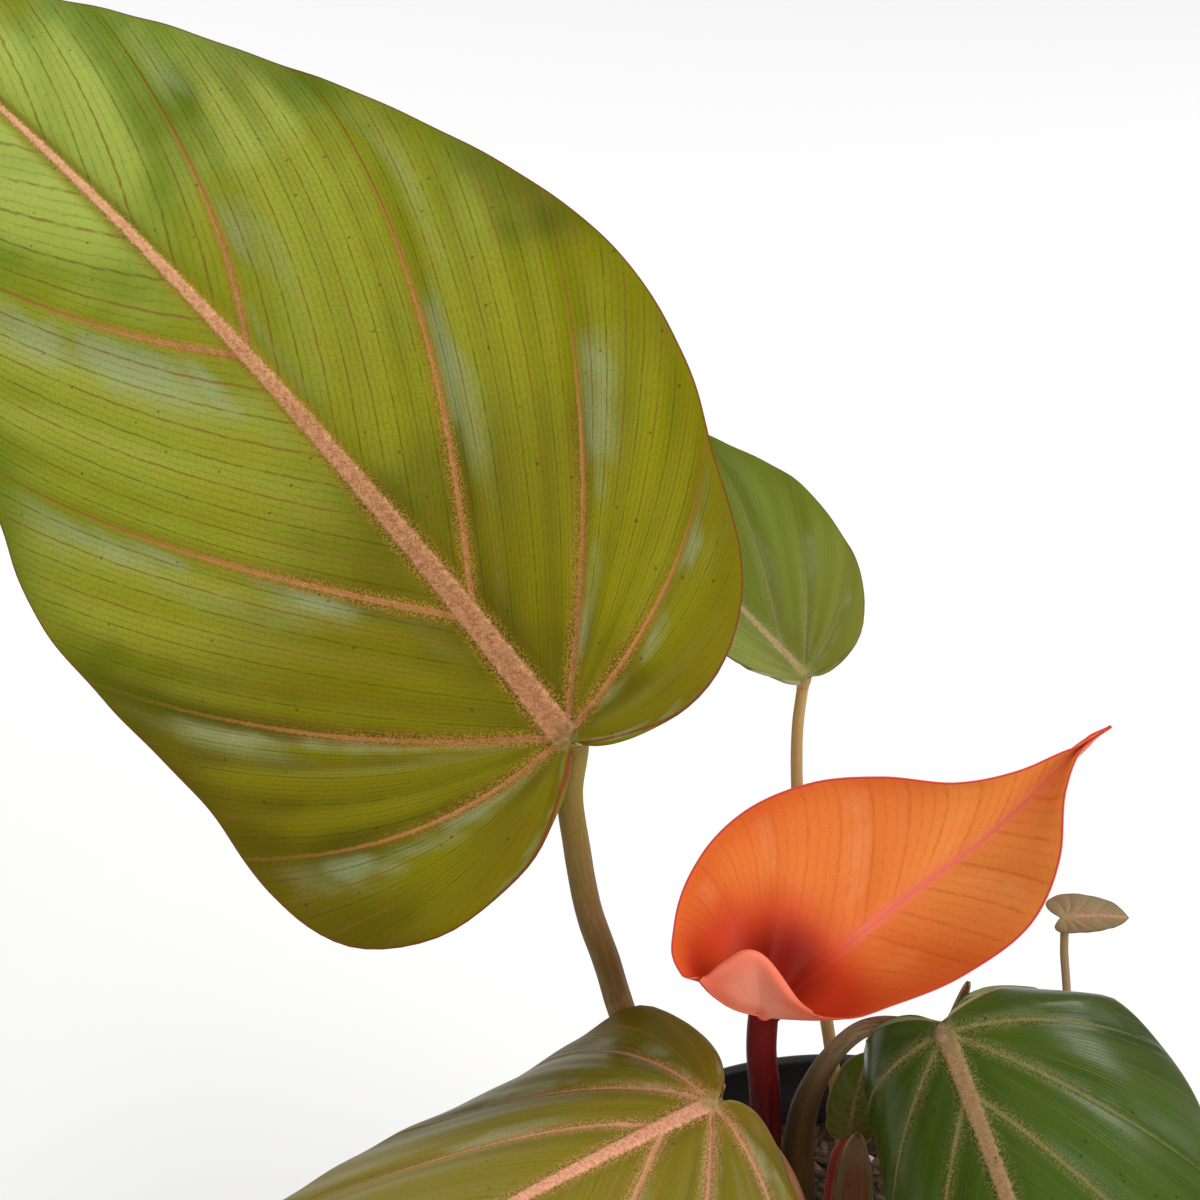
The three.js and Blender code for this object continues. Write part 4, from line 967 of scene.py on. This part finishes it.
stalkLooks = {
    "large_leaf": {"top": (0.24, 0.17, 0.03), "middle": (0.17, 0.095, 0.03), "foot": (0.11, 0.07, 0.022),
                   "streak": (0.25, 0.15, 0.06), "speck": (0.07, 0.03, 0.012)},
    "back_leaf": {"top": (0.44, 0.28, 0.10), "middle": (0.40, 0.24, 0.085), "foot": (0.22, 0.13, 0.04),
                  "streak": (0.5, 0.33, 0.16), "speck": (0.16, 0.07, 0.03)},
    "olive_leaf": {"top": (0.40, 0.17, 0.07), "middle": (0.30, 0.12, 0.05), "foot": (0.16, 0.07, 0.03),
                   "streak": (0.42, 0.22, 0.11), "speck": (0.12, 0.04, 0.02)},
    # the dark leaf's stalk goes dark below its arch: partly its own sheathed olive-brown, partly painted
    # shade
    "dark_leaf": {"top": (0.32, 0.22, 0.12), "middle": (0.07, 0.037, 0.01), "foot": (0.03, 0.02, 0.006),
                  "streak": (0.11, 0.05, 0.018), "speck": (0.03, 0.015, 0.005), "turn": (0.2, 0.42)},
    "side_leaf": {"top": (0.33, 0.23, 0.12), "middle": (0.28, 0.19, 0.09), "foot": (0.16, 0.10, 0.04),
                  "streak": (0.38, 0.25, 0.14), "speck": (0.12, 0.06, 0.03)},
    "young_leaf": {"top": (0.36, 0.08, 0.05), "middle": (0.32, 0.05, 0.04), "foot": (0.14, 0.05, 0.02),
                   "streak": (0.42, 0.14, 0.09), "speck": (0.12, 0.02, 0.015)},
    "new_leaf": {"top": (0.15, 0.008, 0.006), "middle": (0.03, 0.001, 0.001), "foot": (0.03, 0.003, 0.002),
                 "streak": (0.12, 0.005, 0.004), "speck": (0.025, 0.001, 0.001)},
}


def stalkMaterial(name, look):
    material, tree, shader = startMaterial(name.replace("_", " ") + " stalk", Specular_IOR_Level=0.07)
    run, turn, share = parts(readPoint(tree, "run"))
    place = placeInMm(tree)
    around = joined(times(calc("COSINE", turn), 3), times(calc("SINE", turn), 3), times(run, 0.12))
    streak = speckle(around, 1.6, 4, 0.6)
    grain = speckle(place, 2.2, 3, 0.7)
    colour = layered(
        tint(ease(share, *look.get("turn", (0.02, 0.3))), look["top"], look["middle"]),
        (ease(share, 0.45, 0.85), look["foot"]),
        (ease(streak, 0.42, 0.72, 0, 0.75), look["streak"]),
        (ease(grain, 0.55, 0.8, 0, 0.6), look["speck"]),
        (ease(cells(place, 0.7), 0.16, 0.08, 0, 0.5), look["speck"]))
    feed(shader, {"Base Color": colour, "Roughness": ease(grain, 0.3, 0.7, 0.42, 0.62),
                  "Normal": relief(plus(grain, times(streak, 0.8)), 0.15)})
    return material


for leaf in allLeaves:
    makeStalk(leaf, stalkMaterial(leaf["name"], stalkLooks[leaf["name"]]))
print("stalks made")


# Pot, soil, crown and sheaths

pot = {"top": 120, "base": 88, "height": 105, "wall": 1.6, "rimHeight": 9, "overhang": 2, "sides": 192,
       "bead": [(12, 0), (12.6, 0.25), (13.4, 0.25), (14, 0)],  # height, how far it stands out
       "holes": 8, "holeWidth": 9, "holeInset": 11, "holeSides": 40, "holeReach": 4,
       "sharpAngle": 50, "soilHeight": 92}


def potRadius(z):
    return (pot["base"] + (pot["top"] - 2 * pot["overhang"] - pot["base"]) * z / pot["height"]) / 2


def potMaterial():
    material, tree, shader = startMaterial("black pot plastic", Specular_IOR_Level=0.45)
    place = placeInMm(tree)
    x, y, z = parts(place)
    grain = speckle(place, 1.4, 4, 0.65)
    dust = ease(speckle(place, 0.05, 5, 0.65), 0.5, 0.78, 0, 0.35)
    scuff = speckle(joined(x, y, times(z, 9)), 0.1, 3, 0.7)
    colour = layered((0.012, 0.012, 0.0135), (dust, (0.055, 0.05, 0.045)),
                     (ease(scuff, 0.66, 0.74, 0, 0.4), (0.06, 0.06, 0.065)))
    feed(shader, {"Base Color": colour, "Roughness": plus(ease(grain, 0.3, 0.7, 0.34, 0.48), dust),
                  "Normal": relief(grain, 0.05)})
    return material


def arc(centre, radius, start, end, steps=5):  # rounded corner of a profile, degrees
    turns = np.radians(np.linspace(start, end, steps))
    return [(centre[0] + radius * math.cos(t), centre[1] + radius * math.sin(t)) for t in turns]


def ringPoints(profile, sides):  # points of (radius, height) rings round the pot's axis
    return [(r * math.cos(t), r * math.sin(t), z) for r, z in profile for t in fullTurn(sides)]


def potBody():
    shoulder = pot["height"] - pot["rimHeight"]
    rim, foot, wall = pot["top"] / 2, potRadius(0), pot["wall"]
    profile = [
        (0, 1.0), (foot - 16, 1.0), (foot - 15.2, 0.2),
        *arc((foot - 2, 2), 2, -90, 0),
        *((potRadius(z) + out, z) for z, out in pot["bead"]),
        (potRadius(shoulder - 0.6), shoulder - 0.6),
        *arc((rim - 1, shoulder + 1), 1, -90, 0, 4),
        (rim, pot["height"] - 2.2),
        *arc((rim - 1.1, pot["height"] - 1.1), 1.1, 0, 180, 9),
        (rim - 2.3, pot["height"] - 4),
        (potRadius(shoulder) - wall + 0.3, shoulder + 0.6),
        (potRadius(shoulder) - wall, shoulder),
        (potRadius(2 * wall) - wall, 2 * wall),
        *arc((foot - 2 * wall, 2 * wall), wall, 0, -90, 4),
        (0, wall + 0.1),
    ]
    sides = pot["sides"]
    points = [(0, 0, profile[0][1]), *ringPoints(profile[1:-1], sides), (0, 0, profile[-1][1])]
    faces = [list(f) for f in gridFaces(len(profile) - 2, sides, 1, wrap=True)]
    last = len(points) - 1
    for k in range(sides):
        n = (k + 1) % sides
        faces.append([0, 1 + n, 1 + k])
        faces.append([last, last - sides + k, last - sides + n])
    return makeObject("nursery_pot", points, faces)


def drainCutter():  # one upright plug for each drain hole
    points, faces = [], []
    inset, reach, sides = potRadius(0) - pot["holeInset"], pot["holeReach"], pot["holeSides"]
    for k in range(pot["holes"]):
        angle = 2 * math.pi * (k + 0.5) / pot["holes"]
        x, y = inset * math.cos(angle), inset * math.sin(angle)
        ends = [(pot["holeWidth"] / 2, -reach), (pot["holeWidth"] / 2, reach)]
        plug = [(x + a, y + b, z) for a, b, z in ringPoints(ends, sides)]
        faces += [[len(points) + v for v in face] for face in closedTube(plug, sides)]
        points += plug
    return makeObject("drain_cutter", points, faces)


def makePot():
    piece, cutter = potBody(), drainCutter()
    cut = piece.modifiers.new("drain holes", "BOOLEAN")
    cut.object = cutter
    cut.solver = "EXACT"
    applyModifiers(piece)
    bpy.data.objects.remove(cutter)
    for face in piece.data.polygons:
        face.use_smooth = True
    sharpen(piece, pot["sharpAngle"])
    finishPiece(piece, "pot_plastic", potMaterial(), "pot")


def applyModifiers(piece):
    ready = piece.evaluated_get(bpy.context.evaluated_depsgraph_get())
    mesh = bpy.data.meshes.new_from_object(ready)
    piece.modifiers.clear()
    piece.data = mesh


def sharpen(piece, degrees):  # hard edges where faces meet steeper than this
    sheet = bmesh.new()
    sheet.from_mesh(piece.data)
    for edge in sheet.edges:
        edge.smooth = len(edge.link_faces) == 2 and edge.calc_face_angle(0) < math.radians(degrees)
    sheet.to_mesh(piece.data)
    sheet.free()


makePot()
print("pot made")


# Geometry node trees for what is strewn over a surface

def startTree(name, sizes):
    tree = bpy.data.node_groups.new(name, "GeometryNodeTree")
    inputs = {"Geometry": "Geometry", "Density": "Float", **sizes, "Seed": "Int", "Material": "Material"}
    for key, kind in inputs.items():
        tree.interface.new_socket(key, in_out="INPUT", socket_type="NodeSocket" + kind)
    tree.interface.new_socket("Geometry", in_out="OUTPUT", socket_type="NodeSocketGeometry")
    return tree, tree.nodes.new("NodeGroupInput").outputs


def strew(name, ground, tree, sizes):  # runs the tree on the ground's mesh and keeps a plain mesh
    piece = bpy.data.objects.new(name, ground.data.copy())
    bpy.context.scene.collection.objects.link(piece)
    modifier = piece.modifiers.new(tree.name, "NODES")
    modifier.node_group = tree
    for item in tree.interface.items_tree:
        if item.in_out == "INPUT" and item.name in sizes:
            modifier[item.identifier] = sizes[item.name]
    applyModifiers(piece)
    return piece


def randomVector(tree, low, high, seed):
    return addNode(tree, "FunctionNodeRandomValue", {0: low, 1: high, "Seed": seed},
                   data_type="FLOAT_VECTOR").outputs[0]


def randomNumber(tree, low, high, seed):
    return addNode(tree, "FunctionNodeRandomValue", {2: low, 3: high, "Seed": seed},
                   data_type="FLOAT").outputs[1]


def sown(tree, given, key):  # points on the faces, as dense as the point value says
    share = addNode(tree, "GeometryNodeInputNamedAttribute", {"Name": key}, data_type="FLOAT").outputs[0]
    return addNode(tree, "GeometryNodeDistributePointsOnFaces",
                   {"Mesh": given["Geometry"], "Density": times(share, given["Density"]),
                    "Seed": given["Seed"]}).outputs


def finishTree(tree, geometry, material):
    finish = addNode(tree, "GeometryNodeSetMaterial", {"Geometry": geometry, "Material": material})
    addNode(tree, "NodeGroupOutput", {0: finish.outputs[0]})


def hairTree():
    tree, given = startTree("vein hairs", {"Length": "Float", "Thickness": "Float"})
    points = sown(tree, given, "fuzz")
    hair = addNode(tree, "GeometryNodeMeshCone", {"Vertices": 3, "Side Segments": 1, "Radius Top": 0.0,
                                                  "Radius Bottom": given["Thickness"],
                                                  "Depth": given["Length"]}, fill_type="NGON")
    lean = addNode(tree, "FunctionNodeEulerToRotation",
                   {"Euler": randomVector(tree, (-0.7, -0.7, 0), (0.7, 0.7, 6), given["Seed"])})
    turned = addNode(tree, "FunctionNodeRotateRotation",
                     {"Rotation": points["Rotation"], "Rotate By": lean.outputs[0]}, rotation_space="LOCAL")
    strewn = addNode(tree, "GeometryNodeInstanceOnPoints",
                     {"Points": points["Points"], "Instance": hair.outputs["Mesh"],
                      "Rotation": turned.outputs[0], "Scale": randomNumber(tree, 0.5, 1.2, given["Seed"])})
    real = addNode(tree, "GeometryNodeRealizeInstances", {"Geometry": strewn.outputs[0]})
    finishTree(tree, real.outputs[0], given["Material"])
    return tree


def hairMaterial():
    material, tree, shader = startMaterial("vein hair", Roughness=0.5)
    mottle = ease(speckle(placeInMm(tree), 0.9, 2), 0.35, 0.65)
    feed(shader, {"Base Color": tint(mottle, (0.50, 0.24, 0.07), (0.66, 0.42, 0.20))})
    return material


def areaOf(piece, key):  # area in square metres, weighted by a point value
    mesh = piece.data
    values = np.zeros(len(mesh.vertices))
    mesh.attributes[key].data.foreach_get("value", values)
    return sum(face.area * np.mean(values[list(face.vertices)]) for face in mesh.polygons
               if values[face.vertices[0]] > 0)


hairForm = {"thick": 0.045, "seed": 3}


def makeHairs():
    tree, material = hairTree(), hairMaterial()
    for number, leaf in enumerate(allLeaves):
        if "hairs" not in leaf:
            continue
        ground = blades[leaf["name"]]
        sizes = {"Density": leaf["hairs"] / areaOf(ground, "fuzz"), "Length": leaf["hairLength"] * mm,
                 "Thickness": hairForm["thick"] * mm, "Seed": hairForm["seed"] + number,
                 "Material": material}
        piece = strew(leaf["name"] + "_hairs", ground, tree, sizes)
        finishPiece(piece, leaf["slot"], material)
        print("hairs on", leaf["name"], len(piece.data.polygons))


makeHairs()


# Potting mix

mix = {"clearance": 0.3, "lump": 1.4, "rings": 70, "sides": 180, "grain": 0.9,
       "wallHeights": (4, 50, 88), "footRise": 0.4, "middleGap": 0.012,
       "chips": 1500, "chipSize": (0.7, 0.5, 0.35), "chipSpread": (3.2, 1.9, 1.1), "chipTurn": 0.5,
       "seed": 11, "sizeSeed": 5, "shadeSeed": 8, "roughScale": 900.0, "roughPush": 1.3,
       # deep and pale colour of the soil, the bark and the perlite
       "colours": [((0.018, 0.011, 0.006), (0.07, 0.042, 0.022)),
                   ((0.07, 0.034, 0.014), (0.19, 0.10, 0.045)),
                   ((0.50, 0.47, 0.42), (0.74, 0.72, 0.68))]}


def mixHeight(x, y):
    wave = np.sin(x / 7 + 1) * np.cos(y / 6) + 0.6 * np.sin(x / 3.7 - y / 4.3)
    fine = 0.5 * np.sin(x * 1.9 + 2 * np.sin(y * 0.8)) * np.sin(y * 1.7 + 1.5 * np.sin(x * 0.9))
    return pot["soilHeight"] + mix["lump"] * wave + mix["grain"] * fine


def mixMaterial():
    material, tree, shader = startMaterial("dark potting mix", Roughness=0.95)
    shade = readPoint(tree, "shade", "Fac")
    grain = speckle(placeInMm(tree), 1.1, 5, 0.7)
    soil, bark, perlite = (tint(ease(grain, 0.3, 0.7), deep, pale) for deep, pale in mix["colours"])
    colour = layered(soil, (ease(shade, 0.35, 0.75), bark), (ease(shade, 0.955, 0.96), perlite))
    feed(shader, {"Base Color": colour, "Normal": relief(grain, 0.4)})
    return material


def chipTree():
    tree, given = startTree("bark and perlite", {"Smallest": "Vector", "Largest": "Vector"})
    points = sown(tree, given, "bed")
    chip = addNode(tree, "GeometryNodeMeshIcoSphere", {"Radius": 1.0, "Subdivisions": 2})
    tilt = mix["chipTurn"]
    turn = addNode(tree, "FunctionNodeEulerToRotation",
                   {"Euler": randomVector(tree, (-tilt, -tilt, 0), (tilt, tilt, 6.3), given["Seed"])})
    size = randomVector(tree, given["Smallest"], given["Largest"], mix["sizeSeed"])
    strewn = addNode(tree, "GeometryNodeInstanceOnPoints",
                     {"Points": points["Points"], "Instance": chip.outputs["Mesh"],
                      "Rotation": turn.outputs[0], "Scale": size})
    shade = randomNumber(tree, 0, 1, mix["shadeSeed"])
    marked = addNode(tree, "GeometryNodeStoreNamedAttribute",
                     {"Geometry": strewn.outputs[0], "Name": "shade", "Value": shade},
                     data_type="FLOAT", domain="INSTANCE")
    real = addNode(tree, "GeometryNodeRealizeInstances", {"Geometry": marked.outputs[0]})
    rough = addNode(tree, "ShaderNodeTexNoise", {"Scale": mix["roughScale"], "Detail": 2.0})
    middle = addNode(tree, "ShaderNodeVectorMath", {0: rough.outputs["Color"], 1: (0.5, 0.5, 0.5)},
                     operation="SUBTRACT")
    push = addNode(tree, "ShaderNodeVectorMath", {0: middle.outputs[0], "Scale": mix["roughPush"] * mm},
                   operation="SCALE")
    broken = addNode(tree, "GeometryNodeSetPosition",
                     {"Geometry": real.outputs[0], "Offset": push.outputs[0]})
    finishTree(tree, broken.outputs[0], given["Material"])
    return tree


def makeMix():
    gap = pot["wall"] + mix["clearance"]
    reach = potRadius(pot["soilHeight"]) - gap
    turn = fullTurn(mix["sides"])
    rows = [(potRadius(0) - 3 * pot["wall"], pot["wall"] + mix["footRise"]),
            *((potRadius(z) - gap, z) for z in mix["wallHeights"])]
    points = ringPoints(rows, mix["sides"])
    for share in np.linspace(1, mix["middleGap"], mix["rings"]):
        x, y = reach * share * np.cos(turn), reach * share * np.sin(turn)
        points += list(zip(x, y, mixHeight(x, y)))
    faces = closedTube(points, mix["sides"])
    bed = (np.arange(len(points)) >= (len(rows) + 2) * mix["sides"]).astype(float)
    piece = makeObject("potting_mix", points, faces, {"bed": bed, "shade": np.zeros(len(points))})
    material = mixMaterial()
    low, spread = np.array(mix["chipSize"]), np.array(mix["chipSpread"])
    sizes = {"Density": mix["chips"] / areaOf(piece, "bed"), "Smallest": tuple(low * mm),
             "Largest": tuple(spread * mm), "Seed": mix["seed"], "Material": material}
    chips = strew("bark_chips", piece, chipTree(), sizes)
    finishPiece(piece, "potting_mix", material, "soil")
    finishPiece(chips, "potting_mix", material)
    print("potting mix made,", len(chips.data.polygons), "chip faces")


makeMix()


# Crown and dried sheaths

crown = {"centre": (-8, 3, 88), "radii": (15, 13, 8), "rings": 60, "sides": 120}

sheaths = [
    {"name": "split_sheath", "foot": (1, 4, 88), "tip": (0, 10, 139), "heading": -95,
     "width": 11, "wrap": 110},
    {"name": "tall_sheath", "foot": (9, 8, 88), "tip": (20, 33, 152), "heading": -80,
     "width": 6, "wrap": 90},
    {"name": "dry_sheath", "foot": (-20, 3, 88), "tip": (-30, 8, 126), "heading": 20,
     "width": 10, "wrap": 100},
]
sheathForm = {"rows": 90, "columns": 36, "thick": 0.45, "fibre": 0.09, "fibres": 13, "bow": 0.06,
              "tipCurl": 0.9}


def makeCrown():
    turn = fullTurn(crown["sides"])
    points = []
    for tilt in np.linspace(-0.49, 0.49, crown["rings"]) * np.pi:
        ridge = 1 + 0.035 * np.sin(26 * tilt + 1.5 * np.sin(turn)) + 0.03 * np.sin(5 * turn + 6 * tilt)
        ridge += 0.012 * np.sin(23 * turn + 9 * np.sin(tilt * 5))
        x = crown["centre"][0] + crown["radii"][0] * ridge * np.cos(tilt) * np.cos(turn)
        y = crown["centre"][1] + crown["radii"][1] * ridge * np.cos(tilt) * np.sin(turn)
        z = crown["centre"][2] + crown["radii"][2] * ridge * np.sin(tilt)
        points += list(zip(x, y, z))
    piece = makeObject("leaf_crown", points, closedTube(points, crown["sides"]))
    material, tree, shader = startMaterial("crown skin", Roughness=0.75)
    place = placeInMm(tree)
    x, y, z = parts(place)
    grain = speckle(place, 0.8, 4, 0.65)
    scar = ease(speckle(joined(x, y, times(z, 5)), 0.18, 3), 0.42, 0.62)
    colour = layered((0.10, 0.075, 0.022), (scar, (0.21, 0.14, 0.055)),
                     (ease(grain, 0.5, 0.75, 0, 0.8), (0.07, 0.028, 0.012)))
    feed(shader, {"Base Color": colour, "Normal": relief(grain, 0.3)})
    finishPiece(piece, "crown_skin", material, "crown")


def sheathMaterial():
    material, tree, shader = startMaterial("dried sheath", Roughness=0.7)
    length, across, _ = parts(readPoint(tree, "strip"))
    fibre = speckle(joined(times(across, 9), times(length, 0.6)), 3, 4, 0.7)
    blotch = speckle(placeInMm(tree), 0.35, 3)
    colour = layered((0.17, 0.045, 0.018), (ease(fibre, 0.3, 0.7), (0.34, 0.13, 0.05)),
                     (ease(calc("ABSOLUTE", across), 0.55, 0.95, 0, 0.85), (0.19, 0.17, 0.04)),
                     (ease(length, 0.75, 1, 0, 0.8), (0.42, 0.25, 0.12)),
                     (ease(blotch, 0.6, 0.75, 0, 0.6), (0.08, 0.025, 0.012)))
    feed(shader, {"Base Color": colour, "Normal": relief(fibre, 0.3)})
    return material


def makeSheath(sheath, material):
    start, end = np.array(sheath["foot"], float), np.array(sheath["tip"], float)
    along = end - start
    heading = math.radians(sheath["heading"])
    front = np.array([math.cos(heading), math.sin(heading), 0])
    side = np.cross(along, front)
    side /= np.linalg.norm(side)
    front = np.cross(side, along)
    front /= np.linalg.norm(front)
    wrap = math.radians(sheath["wrap"])
    radius = sheath["width"] / wrap
    u, j = np.meshgrid(np.linspace(0, 1, sheathForm["rows"]), np.linspace(-0.5, 0.5, sheathForm["columns"]),
                       indexing="ij")
    share = np.sqrt(np.maximum(1 - u**2.2, 0)) * (1 - 0.25 * u)
    frayed = 1 + 0.05 * np.sin(31 * u + 2 * np.sign(j)) * smooth(0.3, 0.5, np.abs(j))
    angle = wrap * share * j * frayed
    bow = sheathForm["bow"] * np.linalg.norm(along) * np.sin(np.pi * u)
    fibre = sheathForm["fibre"] * np.sin(2 * np.pi * sheathForm["fibres"] * j)
    curl = sheathForm["tipCurl"] * smooth(0.8, 1, u)
    centre = start + along * u[..., None] - front * (bow - curl - fibre)[..., None]
    points = (centre + side * (radius * np.sin(angle))[..., None]
              + front * (radius * (1 - np.cos(angle)))[..., None])
    count = sheathForm["rows"] * sheathForm["columns"]
    values = {"strip": np.stack([u, 2 * j, 0 * j], -1).reshape(count, 3)}
    faces = gridFaces(sheathForm["rows"], sheathForm["columns"])
    points, faces, values = weld(points.reshape(count, 3), faces, values)
    thick = np.full(len(points), sheathForm["thick"])
    points, faces, values = shell(points, faces, values, 0 * thick, thick)
    piece = makeObject(sheath["name"] + "_leaf", points, faces, values)
    finishPiece(piece, "dry_sheath", material, sheath["name"])


makeCrown()
drySheath = sheathMaterial()
for sheath in sheaths:
    makeSheath(sheath, drySheath)
print("crown and sheaths made")
